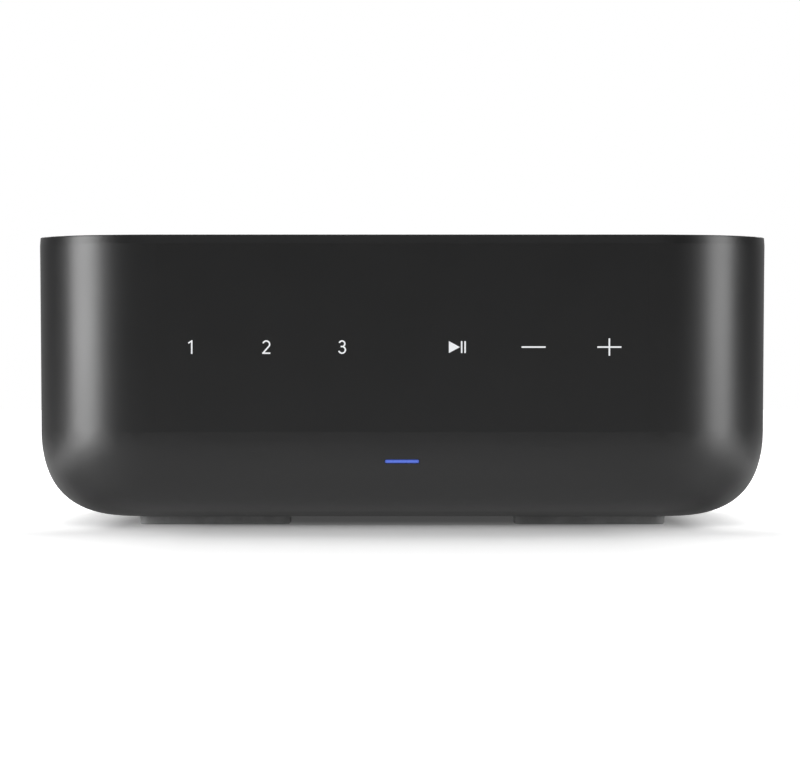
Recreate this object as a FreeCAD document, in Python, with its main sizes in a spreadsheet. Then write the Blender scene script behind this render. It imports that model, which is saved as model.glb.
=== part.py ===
import FreeCAD, Part

import math
import os

import Sketcher

# A desktop streaming amplifier: a dark tub-shaped shell with a flat lid, touch legends and a light bar
# on its front, and speaker posts and sockets on its back. Millimetres, +Z up, the front faces -Y.
# The origin is under the middle of the whole object, terminals included, on the surface it stands on.

SIZES = [
    # Shell and lid
    ("body_width", 214.0, "shell, side to side at the rim"),
    ("body_depth", 214.0, "shell, front to back at the rim"),
    ("body_height", 82.0, "shell, underside to rim"),
    ("corner_radius", 36.0, "upright corners of the shell, seen from above"),
    ("shell_wall", 3.0, "thickness of the moulded wall"),
    ("draft_inset", 0.45, "how far a side leans in from the rim to its lower curve"),
    ("curve_rise", 25.0, "height of the lower curve"),
    ("curve_inset", 26.5, "how far the lower curve reaches inwards"),
    ("curve_fullness", 0.66, "share of the curve taken by its handles; 0.55 is a plain quarter circle"),
    ("rim_radius", 0.35, "rounding of the outer rim"),
    ("rim_band", 2.5, "height of the band under the rim that leans in"),
    ("rim_lean", 0.14, "how far that band leans in"),
    ("lid_thickness", 2.5, "flat lid let into the rim"),
    ("lid_gap", 0.3, "gap between the lid and the rim"),
    ("lid_edge_radius", 0.4, "rounding of the lid's upper edge"),
    ("ledge_width", 2.5, "ledge that carries the lid"),
    ("ledge_thickness", 2.0, "thickness of that ledge"),
    ("hook_width", 12.0, "snap hook under the lid"),
    ("hook_thickness", 1.6, "thickness of a snap hook"),
    ("hook_bite", 1.2, "how far a hook reaches under the ledge"),
    ("hook_barb", 1.4, "height of a hook's barb"),
    ("hook_offset", 42.0, "a hook's place along its side, from the middle"),
    ("overcut", 1.0, "how far a cutting shape runs past the piece that it cuts"),
    ("fit_gap", 0.2, "clearance where one piece is set into another"),
    # Feet
    ("foot_height", 2.5, "what shows of a rubber foot under the shell"),
    ("foot_length", 44.5, "rubber foot, side to side"),
    ("foot_depth", 15.0, "rubber foot, front to back"),
    ("foot_corner", 3.0, "corners of a foot, seen from below"),
    ("foot_edge_radius", 0.7, "rounding of a foot's lower edge"),
    ("foot_pocket", 0.8, "depth of the pocket that a foot is glued into"),
    ("foot_x", 55.2, "middle of a foot, sideways from the centre"),
    ("foot_y", 68.0, "middle of a foot, front to back from the centre"),
    # Underside vents
    ("vent_width", 3.0, "cooling slot, across"),
    ("vent_length", 38.0, "cooling slot, along"),
    ("vent_pitch", 8.0, "spacing of the cooling slots"),
    ("vent_y", 24.0, "middle of a row of slots, from the centre"),
    ("vent_corner", 1.4, "rounded ends of the slots"),
    ("vents_each_side", 3.0, "slots beside the middle one"),
    # Legends and light bar
    ("legend_height", 52.0, "middle of the legends above the table"),
    ("legend_end_gap", 10.0, "middle of the outermost legend from the end of the front's flat"),
    ("preset_start", 17.3, "middle of the numeral nearest to the centre line"),
    ("transport_start", 16.1, "middle of the play sign from the centre line"),
    ("numeral_height", 3.95, "height of a numeral"),
    ("numeral_width", 2.35, "width of a numeral"),
    ("numeral_stroke", 0.44, "stroke of a numeral"),
    ("one_stem", 0.35, "upright of the 1, right of its middle"),
    ("one_flag_reach", 1.0, "flag of the 1, sideways from its upright"),
    ("one_flag_drop", 0.85, "end of that flag below the numeral's top"),
    ("one_flag_stroke", 0.4, "stroke of that flag"),
    ("three_waist", 0.4, "level stroke in the middle of the 3"),
    ("sign_stroke", 0.46, "stroke of the plus and minus signs"),
    ("sign_width", 6.95, "width of the plus and minus signs"),
    ("plus_height", 5.0, "height of the plus sign"),
    ("play_width", 3.2, "triangle of the play sign, across"),
    ("play_height", 3.45, "height of the play sign"),
    ("pause_stroke", 0.45, "bar of the pause sign"),
    ("pause_gap", 0.54, "gap beside each pause bar"),
    ("light_bar_height", 19.0, "middle of the light bar above the table"),
    ("light_bar_length", 9.9, "light bar, side to side"),
    ("light_bar_width", 1.0, "light bar, top to bottom"),
    ("light_bar_gap", 0.3, "slot for the light bar, larger than the bar"),
    ("light_pipe_reach", 5.2, "end of the light pipe behind the shell's front"),
    ("sensor_film", 0.3, "touch film behind the front wall"),
    ("sensor_height", 17.0, "touch film, top to bottom"),
    ("light_guide_depth", 3.7, "clear guide that lights the legends"),
    ("light_guide_height", 9.0, "light guide, top to bottom"),
    ("guide_past_legend", 4.0, "light guide and touch film, beyond the outermost legend's middle"),
    ("light_guide_corner", 2.2, "rounded ends of the light guide"),
    ("led_size", 1.6, "lamp behind the light bar"),
    ("led_pitch", 3.3, "spacing of those lamps"),
    ("front_board_margin", 3.0, "front board beyond the light guide at each end"),
    ("front_board_height", 50.0, "circuit board behind the front, top to bottom"),
    ("front_board_low", 15.0, "lower edge of the front board above the table"),
    ("front_pin_inset", 3.0, "pins that hold the front board, from the light guide's ends"),
    ("front_boss_low", 36.0, "lower pins above the table"),
    ("front_boss_rise", 25.5, "upper pins above the lower ones"),
    ("front_boss_radius", 2.6, "radius of such a pin"),
    ("board_thickness", 1.6, "every circuit board"),
    ("board_corner", 2.0, "rounded corners of the boards"),
    # Chassis and boards
    ("boss_height", 4.0, "bosses on the shell's floor"),
    ("boss_radius", 4.5, "radius of a floor boss"),
    ("boss_x", 66.0, "floor bosses, sideways from the centre"),
    ("boss_y", 50.0, "floor bosses, front to back from the centre"),
    ("chassis_size", 148.0, "steel plate that carries the boards"),
    ("chassis_corner", 8.0, "corners of that plate"),
    ("chassis_thickness", 1.2, "steel plate"),
    ("standoff_height", 6.0, "pillars between the plate and the boards"),
    ("standoff_radius", 3.0, "radius of such a pillar"),
    ("standoff_inset", 5.0, "pillar's middle from a board's edges"),
    ("screw_radius", 1.45, "shank of the small screws"),
    ("screw_grip", 6.4, "thread of a screw in the panel's pillars"),
    ("short_grip", 3.0, "thread of a screw in the boards' pillars and the front pins"),
    ("screw_head_radius", 2.7, "head of the small screws"),
    ("screw_head_height", 1.7, "head of the small screws"),
    ("screw_slot_reach", 1.6, "arm of the cross in a screw's head, from its middle"),
    ("screw_slot_width", 0.65, "width of that cross"),
    ("screw_slot_depth", 0.85, "depth of that cross"),
    ("board_length", 134.0, "power and amplifier boards, front to back"),
    ("board_front", 70.0, "their front edge, forwards from the centre"),
    ("power_board_width", 60.0, "power board"),
    ("power_board_x", 42.0, "its middle, left of the centre"),
    ("amp_board_width", 82.0, "amplifier board"),
    ("amp_board_x", 33.0, "its middle, right of the centre"),
    # Rear panel
    ("panel_thickness", 2.0, "plate that holds the sockets"),
    ("panel_width", 134.0, "that plate, side to side"),
    ("panel_low", 28.2, "its lower edge above the table"),
    ("panel_head_gap", 2.8, "its upper edge below the lid"),
    ("opening_width", 124.0, "opening in the shell that shows the sockets"),
    ("opening_margin", 3.4, "panel hidden above and below the opening"),
    ("opening_corner", 4.0, "corners of the opening"),
    ("rail_overlap", 2.5, "how far a guide rail holds the panel's edge"),
    ("rail_thickness", 2.0, "guide rail"),
    ("pillar_length", 16.0, "pillars between the panel and the socket board"),
    ("pillar_x", 58.0, "the two pillars beside the inlet, from the centre"),
    ("pillar_margin", 7.4, "those pillars, from the panel's upper and lower edges"),
    ("socket_board_width", 130.0, "upright board behind the sockets"),
    ("socket_board_margin", 1.6, "panel left free above and below that board"),
    # Speaker posts
    ("post_x", 33.5, "nearer speaker posts from the centre line"),
    ("post_pitch", 19.05, "spacing of the posts, which twin plugs need"),
    ("collar_radius", 7.0, "insulating collar of a post"),
    ("collar_thickness", 3.0, "that collar, outside the panel"),
    ("collar_neck_radius", 4.6, "its neck through the panel"),
    ("collar_chamfer", 0.6, "bevel of the collar"),
    ("stud_radius", 3.0, "threaded stud"),
    ("stud_flange_radius", 5.2, "contact flange on the stud"),
    ("stud_flange", 1.5, "thickness of that flange"),
    ("stud_reach", 12.3, "stud beyond its flange"),
    ("stud_chamfer", 0.4, "bevel of the stud's end"),
    ("stud_past_nut", 1.0, "stud beyond its nut"),
    ("tail_stub", 1.0, "solder tail beyond the socket board"),
    ("stud_tail_radius", 1.6, "solder tail of the stud"),
    ("plug_bore_radius", 2.0, "bore for a 4 mm plug"),
    ("plug_bore_depth", 17.0, "depth of that bore"),
    ("washer_radius", 5.2, "loose clamping washer"),
    ("washer_thickness", 0.8, "that washer"),
    ("cap_radius", 6.0, "screw cap of a post"),
    ("cap_length", 13.0, "screw cap of a post"),
    ("cap_end_wall", 1.2, "outer end of the cap"),
    ("cap_mouth_radius", 2.35, "hole in the cap's outer end"),
    ("cap_chamfer", 0.8, "bevel of the cap's outer end"),
    ("flute_radius", 0.8, "grip flute round the cap"),
    ("flute_offset", 0.36, "flute's middle outside the cap's face"),
    ("flute_margin", 1.6, "plain rim at the cap's outer end"),
    ("flute_count", 12.0, "flutes round a cap"),
    ("thread_gap", 0.08, "running clearance on the stud"),
    ("nut_radius", 5.6, "nut behind the panel, over its corners"),
    ("nut_thickness", 2.4, "nut behind the panel"),
    # Sockets
    ("socket_drop", 1.5, "middle line of the sockets below the panel's middle"),
    ("line_x", 14.0, "line input jacks from the centre line"),
    ("sub_x", -2.0, "subwoofer jack from the centre line"),
    ("jack_pitch", 18.0, "upper jack above the lower one"),
    ("jack_radius", 4.15, "outer barrel of a jack"),
    ("jack_neck_radius", 3.8, "that barrel inside its ring and the panel"),
    ("jack_reach", 8.4, "barrel outside the panel"),
    ("jack_bore_radius", 1.65, "centre contact of a jack"),
    ("jack_wall", 0.65, "metal of the barrel"),
    ("jack_flange_radius", 5.4, "coloured ring round a jack"),
    ("jack_flange", 1.0, "that ring, outside the panel"),
    ("jack_body", 11.0, "square housing behind the panel"),
    ("jack_core_set_in", 1.0, "insulator behind the barrel's mouth"),
    ("jack_core_root", 3.0, "insulator behind the panel's face"),
    ("jack_contact_depth", 1.0, "floor of the centre contact behind the panel's face"),
    ("net_x", -20.0, "network and service sockets from the centre line"),
    ("net_rise", 8.8, "network socket above the sockets' middle line"),
    ("net_width", 15.8, "network socket housing"),
    ("net_tall", 13.4, "network socket housing"),
    ("net_mouth_width", 11.8, "mouth of the network socket"),
    ("net_mouth_tall", 6.9, "mouth of the network socket, without its latch notch"),
    ("net_notch_width", 6.0, "latch notch"),
    ("net_notch_tall", 2.2, "latch notch"),
    ("net_depth", 12.5, "depth of the network socket"),
    ("net_pin_pitch", 1.02, "spacing of its contacts"),
    ("net_pin_width", 0.5, "one of its contacts"),
    ("net_pin_drop", 0.6, "contacts under the roof of its mouth"),
    ("net_pin_set_in", 3.0, "contacts behind its face"),
    ("net_pin_count", 8.0, "its contacts"),
    ("usb_drop", 9.0, "service socket below the sockets' middle line"),
    ("usb_width", 14.4, "service socket housing"),
    ("usb_tall", 7.0, "service socket housing"),
    ("usb_wall", 0.5, "metal shell of the service socket"),
    ("usb_tongue", 1.9, "contact tongue of the service socket"),
    ("usb_tongue_set_in", 1.0, "that tongue behind the socket's face"),
    ("optical_rise", 9.4, "optical socket above the sockets' middle line"),
    ("optical_width", 12.6, "optical socket housing"),
    ("optical_tall", 12.6, "optical socket housing"),
    ("optical_mouth", 9.4, "mouth of the optical socket"),
    ("optical_depth", 11.0, "depth of the optical socket"),
    ("shutter_set_in", 0.7, "shutter behind the socket's face"),
    ("shutter_thickness", 1.0, "shutter"),
    ("shutter_pin_radius", 0.5, "shutter's hinge pin"),
    ("shutter_pin_bite", 0.8, "pin inside each side of the socket"),
    ("button_radius", 1.9, "setup button"),
    ("button_reach", 1.2, "setup button outside the panel"),
    ("button_flange", 1.0, "its retaining flange behind the panel"),
    ("button_flange_reach", 0.8, "that flange, beyond the button all round"),
    ("button_chamfer", 0.3, "bevel of the button's end"),
    ("button_stem_radius", 1.15, "stem between the button and its plunger"),
    ("button_plunger_radius", 0.8, "plunger that enters the switch"),
    ("button_plunger_length", 1.0, "plunger inside the switch at rest"),
    ("button_travel", 0.8, "how far it is pressed"),
    ("switch_size", 6.2, "switch behind the button"),
    ("switch_depth", 4.0, "switch behind the button"),
    ("inlet_x", -46.0, "mains inlet from the centre line"),
    ("inlet_width", 22.0, "mains inlet housing"),
    ("inlet_tall", 15.0, "mains inlet housing"),
    ("inlet_depth", 19.0, "mains inlet housing behind the panel's face"),
    ("inlet_flange", 2.4, "its flange beyond the housing, all round"),
    ("inlet_flange_thickness", 1.4, "its flange, outside the panel"),
    ("inlet_mouth_width", 16.2, "figure-of-eight mouth of the inlet"),
    ("inlet_mouth_tall", 8.4, "figure-of-eight mouth of the inlet"),
    ("inlet_mouth_depth", 13.0, "depth of that mouth"),
    ("inlet_board_gap", 0.6, "socket board clear of the inlet, all round"),
    ("inlet_pin_radius", 1.2, "contact pin of the inlet"),
    ("inlet_pin_pitch", 8.6, "spacing of the contact pins"),
    ("inlet_pin_set_in", 2.0, "pin ends behind the inlet's face"),
    # Components on the boards
    ("chip_size", 14.0, "amplifier chip"),
    ("chip_height", 1.8, "amplifier chip"),
    ("chip_spread", 17.0, "amplifier chips, from the board's middle"),
    ("sink_y", 8.0, "middle of the heat sink, behind the centre"),
    ("sink_width", 66.0, "heat sink, side to side"),
    ("sink_length", 46.0, "heat sink, front to back"),
    ("sink_base", 4.0, "heat sink's base"),
    ("sink_height", 26.0, "heat sink, whole height"),
    ("fin_thickness", 1.4, "heat sink fin"),
    ("fin_count", 11.0, "heat sink fins"),
    ("coil_size", 12.0, "output choke"),
    ("coil_height", 9.0, "output choke"),
    ("coil_corner", 1.5, "corners of an output choke"),
    ("coil_spread", 7.4, "chokes of a pair, from the pair's middle"),
    ("coil_inset", 20.4, "chokes from the board's rear edge"),
    ("can_radius", 6.3, "smoothing capacitor"),
    ("can_height", 25.0, "smoothing capacitor"),
    ("can_spread", 7.3, "smoothing capacitors of a pair, from the pair's middle"),
    ("can_inset", 38.6, "smoothing capacitors from the board's front edge"),
    ("can_waist", 2.4, "middle of a capacitor's crimped waist above the board"),
    ("output_pitch", 15.0, "spacing of the output capacitors"),
    ("output_inset", 19.0, "output capacitors from the board's front edge"),
    ("main_can_radius", 11.0, "mains capacitor"),
    ("main_can_height", 35.0, "mains capacitor"),
    ("can_lip", 0.6, "rounded shoulder of a capacitor"),
    ("core_width", 34.0, "transformer core"),
    ("core_length", 30.0, "transformer core"),
    ("core_height", 26.0, "transformer core"),
    ("core_leg", 6.0, "side leg of the core"),
    ("core_centre_leg", 8.4, "middle leg of the core"),
    ("core_rise", 2.0, "core above its board"),
    ("core_y", 2.0, "middle of the transformer, behind the centre"),
    ("winding_overhang", 4.0, "winding beyond the core at each end"),
    ("winding_clearance", 0.6, "between the winding and the core"),
    ("toroid_radius", 9.5, "mains filter choke"),
    ("toroid_height", 9.0, "mains filter choke"),
    ("toroid_bore", 4.0, "hole of the filter choke"),
    ("toroid_x", 15.2, "filter choke from the power board's middle"),
    ("mains_inset", 26.4, "mains capacitor and choke from the board's rear edge"),
    ("module_width", 40.0, "network module board"),
    ("module_length", 26.0, "network module board"),
    ("module_board", 0.8, "thickness of the network module's board"),
    ("module_rise", 3.0, "network module above the amplifier board"),
    ("module_inset", 6.0, "network module from the board's front edge"),
    ("module_header", 3.0, "pin strip under the module"),
    ("module_margin", 1.0, "that strip inside the module's edges"),
    ("module_corner", 1.0, "corners of the module and its can"),
    ("shield_height", 3.2, "metal can over the network module"),
    ("shield_margin", 2.0, "module board round its can"),
    ("shield_edge", 0.5, "folded edge of the can"),
    ("header_width", 46.0, "plug strip between the boards"),
    ("header_height", 14.0, "plug strip between the boards"),
    ("aerial_length", 34.0, "aerial strip on a side wall"),
    ("aerial_height", 9.0, "aerial strip on a side wall"),
    ("aerial_thickness", 1.0, "aerial strip on a side wall"),
    ("aerial_z", 58.0, "aerial strips above the table"),
    ("aerial_y", 40.0, "aerial strips, forwards from the centre"),
    ("lead_radius", 1.1, "insulated wires"),
    ("lead_run", 16.0, "straight start of the wires behind the inlet"),
    ("lead_dip", 6.0, "bend above the mains cable socket, below the inlet's middle"),
    ("plug_lead_spread", 1.8, "wires at that socket, from its middle"),
    ("ribbon_width", 16.0, "flat cable from the front board"),
    ("ribbon_thickness", 0.35, "flat cable from the front board"),
    ("plug_height", 5.0, "cable sockets on the boards"),
    ("plug_depth", 6.0, "cable sockets on the boards"),
    ("plug_margin", 1.0, "cable socket beyond its cable, each side"),
    ("plug_inset", 10.0, "mains cable socket from the board's rear edge"),
    ("ribbon_plug_rise", 10.0, "flat cable's front socket above the boards' top"),
]

FULL_TURN = 360.0
QUARTER_TURN = 90.0
EDGE_SLACK = 1e-3

# Where the bow of a 2 turns into its slanted stroke, and where the bows of a 2 and a 3 end, in degrees
TWO_SLANT_START = 38.0
BOW_END = 163.0

# Share of the shorter run that a bend in a lead takes up
BEND_SHARE = 0.45

doc = FreeCAD.newDocument("StreamingAmplifier")
sheet = doc.addObject("Spreadsheet::Sheet", "Sizes")


class Size:
    """A length that knows its number and the spreadsheet formula that it comes from."""

    def __init__(self, text, value):
        self.text = text
        self.value = value

    def __neg__(self):
        return Size("-(" + self.text + ")", -self.value)

    def __add__(self, other):
        other = size(other)
        return Size("(" + self.text + " + " + other.text + ")", self.value + other.value)

    def __sub__(self, other):
        other = size(other)
        return Size("(" + self.text + " - " + other.text + ")", self.value - other.value)

    def __mul__(self, other):
        other = size(other)
        return Size("(" + self.text + " * " + other.text + ")", self.value * other.value)

    def __truediv__(self, other):
        other = size(other)
        return Size("(" + self.text + " / " + other.text + ")", self.value / other.value)


def size(number):
    """The same size, or a plain number made one."""
    return number if isinstance(number, Size) else Size(repr(float(number)), float(number))


class Table:
    """The driving sizes by name."""

    def __init__(self, rows):
        for line, (name, number, note) in enumerate(rows, 1):
            sheet.set("A%d" % line, name)
            sheet.set("B%d" % line, repr(number))
            sheet.set("C%d" % line, note)
            sheet.setAlias("B%d" % line, name)
            setattr(self, name, Size("Sizes." + name, number))


s = Table(SIZES)
doc.recompute()

ZERO = size(0)
post_reach = (s.collar_thickness + s.stud_flange + s.washer_thickness + s.cap_length) - s.shell_wall
front = -(s.body_depth + post_reach) / 2
middle = front + s.body_depth / 2
back = front + s.body_depth
side = s.body_width / 2
flat_half = side - s.corner_radius
legend_reach = flat_half - s.legend_end_gap
legend_steps = 2
legend_pitch = (legend_reach - s.preset_start) / legend_steps
guide_half = legend_reach + s.guide_past_legend
guide_length = guide_half * 2
front_pin_x = guide_half - s.front_pin_inset
underside = s.foot_height
floor = underside + s.shell_wall
top = underside + s.body_height
lid_low = top - s.lid_thickness
inner_side = side - s.shell_wall
inner_front = front + s.shell_wall
inner_back = back - s.shell_wall
panel_out = inner_back
panel_in = panel_out - s.panel_thickness
panel_top = lid_low - s.panel_head_gap
panel_height = panel_top - s.panel_low
panel_middle = (s.panel_low + panel_top) / 2
socket_line = panel_middle - s.socket_drop
post_low = panel_middle - s.post_pitch / 2
jack_low = socket_line - s.jack_pitch / 2
net_height = socket_line + s.net_rise
usb_height = socket_line - s.usb_drop
optical_height = socket_line + s.optical_rise
opening_low = s.panel_low + s.opening_margin
opening_top = panel_top - s.opening_margin
socket_board_back = panel_in - s.pillar_length
socket_board_front = socket_board_back - s.board_thickness
front_board_front = inner_front + s.sensor_film + s.light_guide_depth
front_board_back = front_board_front + s.board_thickness
chassis_low = floor + s.boss_height
chassis_top = chassis_low + s.chassis_thickness
board_low = chassis_top + s.standoff_height
board_top = board_low + s.board_thickness
board_front_edge = middle - s.board_front
board_back_edge = board_front_edge + s.board_length
flange_out = panel_out + s.collar_thickness + s.stud_flange
cap_start = flange_out + s.washer_thickness
screw_hole = s.screw_radius + s.thread_gap

X_AXIS = FreeCAD.Vector(1, 0, 0)
Y_AXIS = FreeCAD.Vector(0, 1, 0)
Z_AXIS = FreeCAD.Vector(0, 0, 1)
TURNS = {
    "X": FreeCAD.Rotation(Y_AXIS, QUARTER_TURN),
    "Y": FreeCAD.Rotation(X_AXIS, -QUARTER_TURN),
    "Z": FreeCAD.Rotation(),
}

parts = []

# Like pieces of several boards, gathered while they are made
fixings = []
standoffs = []
capacitors = []
plugs = []

# Radii of the bends of every lead, for the record that the build prints
bend_radii = []


def sub_part(label, item):
    """Names a finished piece, which gives its file's name."""
    item.Label = label
    parts.append(item)
    return item


def bind(item, prop, length):
    """Ties a property to the sizes that it comes from."""
    item.setExpression(prop, size(length).text)


def place(item, x, y, z):
    """Ties an object's place to its sizes."""
    bind(item, "Placement.Base.x", x)
    bind(item, "Placement.Base.y", y)
    bind(item, "Placement.Base.z", z)


# Plain solids and booleans


def block(name, x_low, x_high, y_low, y_high, z_low, z_high):
    """A box between two corners."""
    item = doc.addObject("Part::Box", name)
    bind(item, "Length", size(x_high) - x_low)
    bind(item, "Width", size(y_high) - y_low)
    bind(item, "Height", size(z_high) - z_low)
    place(item, x_low, y_low, z_low)
    return item


def rod(name, radius, length, x, y, z, along):
    """A cylinder that starts at a point and runs along +X, +Y or +Z."""
    item = doc.addObject("Part::Cylinder", name)
    bind(item, "Radius", radius)
    bind(item, "Height", length)
    item.Placement = FreeCAD.Placement(FreeCAD.Vector(), TURNS[along])
    place(item, x, y, z)
    return item


def join(name, items):
    """Several solids as one."""
    item = doc.addObject("Part::MultiFuse", name)
    item.Shapes = items
    item.Refine = True
    return item


def cut(name, base, tools):
    """A solid less other solids."""
    item = doc.addObject("Part::Cut", name)
    item.Base = base
    item.Tool = tools[0] if len(tools) == 1 else join(name + "_cutters", tools)
    item.Refine = True
    return item


def overlap(name, first, second):
    """What two solids share."""
    item = doc.addObject("Part::Common", name)
    item.Base = first
    item.Tool = second
    return item


def group(name, items):
    """Like pieces that share one node and stay separate solids."""
    item = doc.addObject("Part::Compound", name)
    item.Links = items
    return item


def formed(name, shape):
    """A piece whose shape is worked out here from the sizes."""
    item = doc.addObject("Part::Feature", name)
    item.Shape = shape
    return item


# Sketched bodies


def new_body(name, x=0, y=0, z=0):
    """An empty body at its place."""
    body = doc.addObject("PartDesign::Body", name)
    place(body, size(x), size(y), size(z))
    return body


def draw(body, plane, polygons=(), circles=()):
    """A sketch of closed polygons and circles whose corners and centres follow the sizes."""
    sketch = body.newObject("Sketcher::SketchObject", body.Name + "_sketch")
    support = [o for o in body.Origin.OriginFeatures if o.Role == plane + "_Plane"]
    sketch.AttachmentSupport = [(support[0], "")]
    sketch.MapMode = "FlatFace"
    for corners in polygons:
        points = [(size(x), size(y)) for x, y in corners]
        first = sketch.GeometryCount
        count = len(points)
        for at, (x, y) in enumerate(points):
            next_x, next_y = points[(at + 1) % count]
            start = FreeCAD.Vector(x.value, y.value, 0)
            end = FreeCAD.Vector(next_x.value, next_y.value, 0)
            sketch.addGeometry(Part.LineSegment(start, end))
        for at in range(count):
            follower = first + (at + 1) % count
            sketch.addConstraint(Sketcher.Constraint("Coincident", first + at, 2, follower, 1))
        for at, (x, y) in enumerate(points):
            tie(sketch, "DistanceX", first + at, 1, x)
            tie(sketch, "DistanceY", first + at, 1, y)
    for x, y, radius in circles:
        x, y, radius = size(x), size(y), size(radius)
        centre = FreeCAD.Vector(x.value, y.value, 0)
        at = sketch.addGeometry(Part.Circle(centre, Z_AXIS, radius.value))
        tie(sketch, "DistanceX", at, 3, x)
        tie(sketch, "DistanceY", at, 3, y)
        number = sketch.addConstraint(Sketcher.Constraint("Radius", at, radius.value))
        sketch.setExpression("Constraints[%d]" % number, radius.text)
    return sketch


def tie(sketch, kind, line, end, length):
    """Holds a point of a sketch at a distance from the sketch's origin."""
    number = sketch.addConstraint(Sketcher.Constraint(kind, -1, 1, line, end, length.value))
    sketch.setExpression("Constraints[%d]" % number, length.text)


def rectangle(width, height, x=0, y=0):
    """The corners of a rectangle about a centre."""
    x, y = size(x), size(y)
    half_width, half_height = size(width) / 2, size(height) / 2
    return [
        (x - half_width, y - half_height),
        (x + half_width, y - half_height),
        (x + half_width, y + half_height),
        (x - half_width, y + half_height),
    ]


def pad(body, sketch, thickness):
    """Grows a sketch into a solid along its plane's normal."""
    feature = body.newObject("PartDesign::Pad", body.Name + "_pad")
    feature.Profile = sketch
    bind(feature, "Length", thickness)
    return feature


def turn(body, sketch):
    """Spins a sketch round its own upright axis."""
    feature = body.newObject("PartDesign::Revolution", body.Name + "_turn")
    feature.Profile = sketch
    feature.ReferenceAxis = (sketch, ["V_Axis"])
    feature.Angle = FULL_TURN
    return feature


def soften(body, radius, wanted):
    """Rounds the edges that a test picks."""
    doc.recompute()
    base = body.Tip
    names = ["Edge%d" % n for n, edge in enumerate(base.Shape.Edges, 1) if wanted(edge)]
    feature = body.newObject("PartDesign::Fillet", body.Name + "_fillet")
    feature.Base = (base, names)
    bind(feature, "Radius", radius)
    return feature


def is_along(direction):
    """Picks straight edges along a direction."""

    def wanted(edge):
        line = edge.Curve
        return isinstance(line, Part.Line) and abs(abs(line.Direction.dot(direction)) - 1) < EDGE_SLACK

    return wanted


def is_at(height):
    """Picks level edges at one height above the body's own base."""

    def wanted(edge):
        box = edge.BoundBox
        return abs(box.ZMin - height) < EDGE_SLACK and abs(box.ZMax - height) < EDGE_SLACK

    return wanted


def plate(name, width, length, thickness, x, y, z, corner=None, holes=()):
    """A flat plate about a centre, with round holes that are placed from that centre."""
    body = new_body(name, x, y, z)
    pad(body, draw(body, "XY", [rectangle(width, length)], holes), thickness)
    if corner is not None:
        soften(body, corner, is_along(Z_AXIS))
    return body


def upright_plate(name, width, height, thickness, x, y_back, z, corner=None, holes=(), windows=()):
    """A plate that stands across the object; it grows forwards from its back face."""
    body = new_body(name, x, y_back, z)
    pad(body, draw(body, "XZ", [rectangle(width, height), *windows], holes), thickness)
    if corner is not None:
        soften(body, corner, is_along(Y_AXIS))
    return body


def turned(name, outline, x, y, z):
    """A piece turned about an axis along Y: its outline is (radius, distance along Y) pairs."""
    body = new_body(name, x, y, z)
    turn(body, draw(body, "XY", [outline]))
    return body


def screw(name, x, y, z, along, shank, inwards):
    """A pan-head screw with a cross recess; its head is outside the given point."""
    head_height, recess = s.screw_head_height, s.screw_slot_depth
    places = {"X": (1, 0, 0), "Y": (0, 1, 0), "Z": (0, 0, 1)}[along]

    def beyond(distance):
        return [size(c) + size(distance) * step for c, step in zip((x, y, z), places)]

    if inwards:
        head = rod(name + "_head", s.screw_head_radius, head_height, x, y, z, along)
        stem = rod(name + "_stem", s.screw_radius, shank, *beyond(-size(shank)), along)
        floor_of_recess, roof_of_recess = beyond(head_height - recess), beyond(head_height * 2)
    else:
        head = rod(name + "_head", s.screw_head_radius, head_height, *beyond(-head_height), along)
        stem = rod(name + "_stem", s.screw_radius, shank, x, y, z, along)
        floor_of_recess, roof_of_recess = beyond(head_height * -2), beyond(recess - head_height)
    arm, half_slot = s.screw_slot_reach, s.screw_slot_width / 2
    slots = []
    for turned_slot in (False, True):
        spread = [half_slot, arm] if turned_slot else [arm, half_slot]
        corners = []
        for low, high, step in zip(floor_of_recess, roof_of_recess, places):
            reach = None if step else spread.pop(0)
            corners += [low, high] if step else [low - reach, low + reach]
        slots.append(block(name + "_slot%d" % turned_slot, *corners))
    return cut(name, join(name + "_blank", [head, stem]), slots)


# Shell shapes


def rounded_outline(half_x, half_y, corner, y_mid, z):
    """A flat outline with four round corners."""
    edges = []
    for quarter in range(4):
        angle = math.radians(QUARTER_TURN * quarter)
        along_x = (1, -1, -1, 1)[quarter]
        along_y = (1, 1, -1, -1)[quarter]
        centre = FreeCAD.Vector(along_x * (half_x - corner), y_mid + along_y * (half_y - corner), z)
        points = []
        for share in (0, 0.5, 1):
            at = angle + math.radians(QUARTER_TURN) * share
            points.append(centre + FreeCAD.Vector(math.cos(at), math.sin(at), 0) * corner)
        edges.append(Part.Arc(*points))
    lines = [
        Part.LineSegment(edges[n].EndPoint, edges[(n + 1) % 4].StartPoint).toShape() for n in range(4)
    ]
    return Part.Wire([shape for arc, line in zip(edges, lines) for shape in (arc.toShape(), line)])


def rounded_block(half_x, half_y, corner, y_mid, z_low, z_high):
    """An upright block with four round corners."""
    face = Part.Face(rounded_outline(half_x, half_y, corner, y_mid, z_low))
    return face.extrude(FreeCAD.Vector(0, 0, z_high - z_low))


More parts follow.
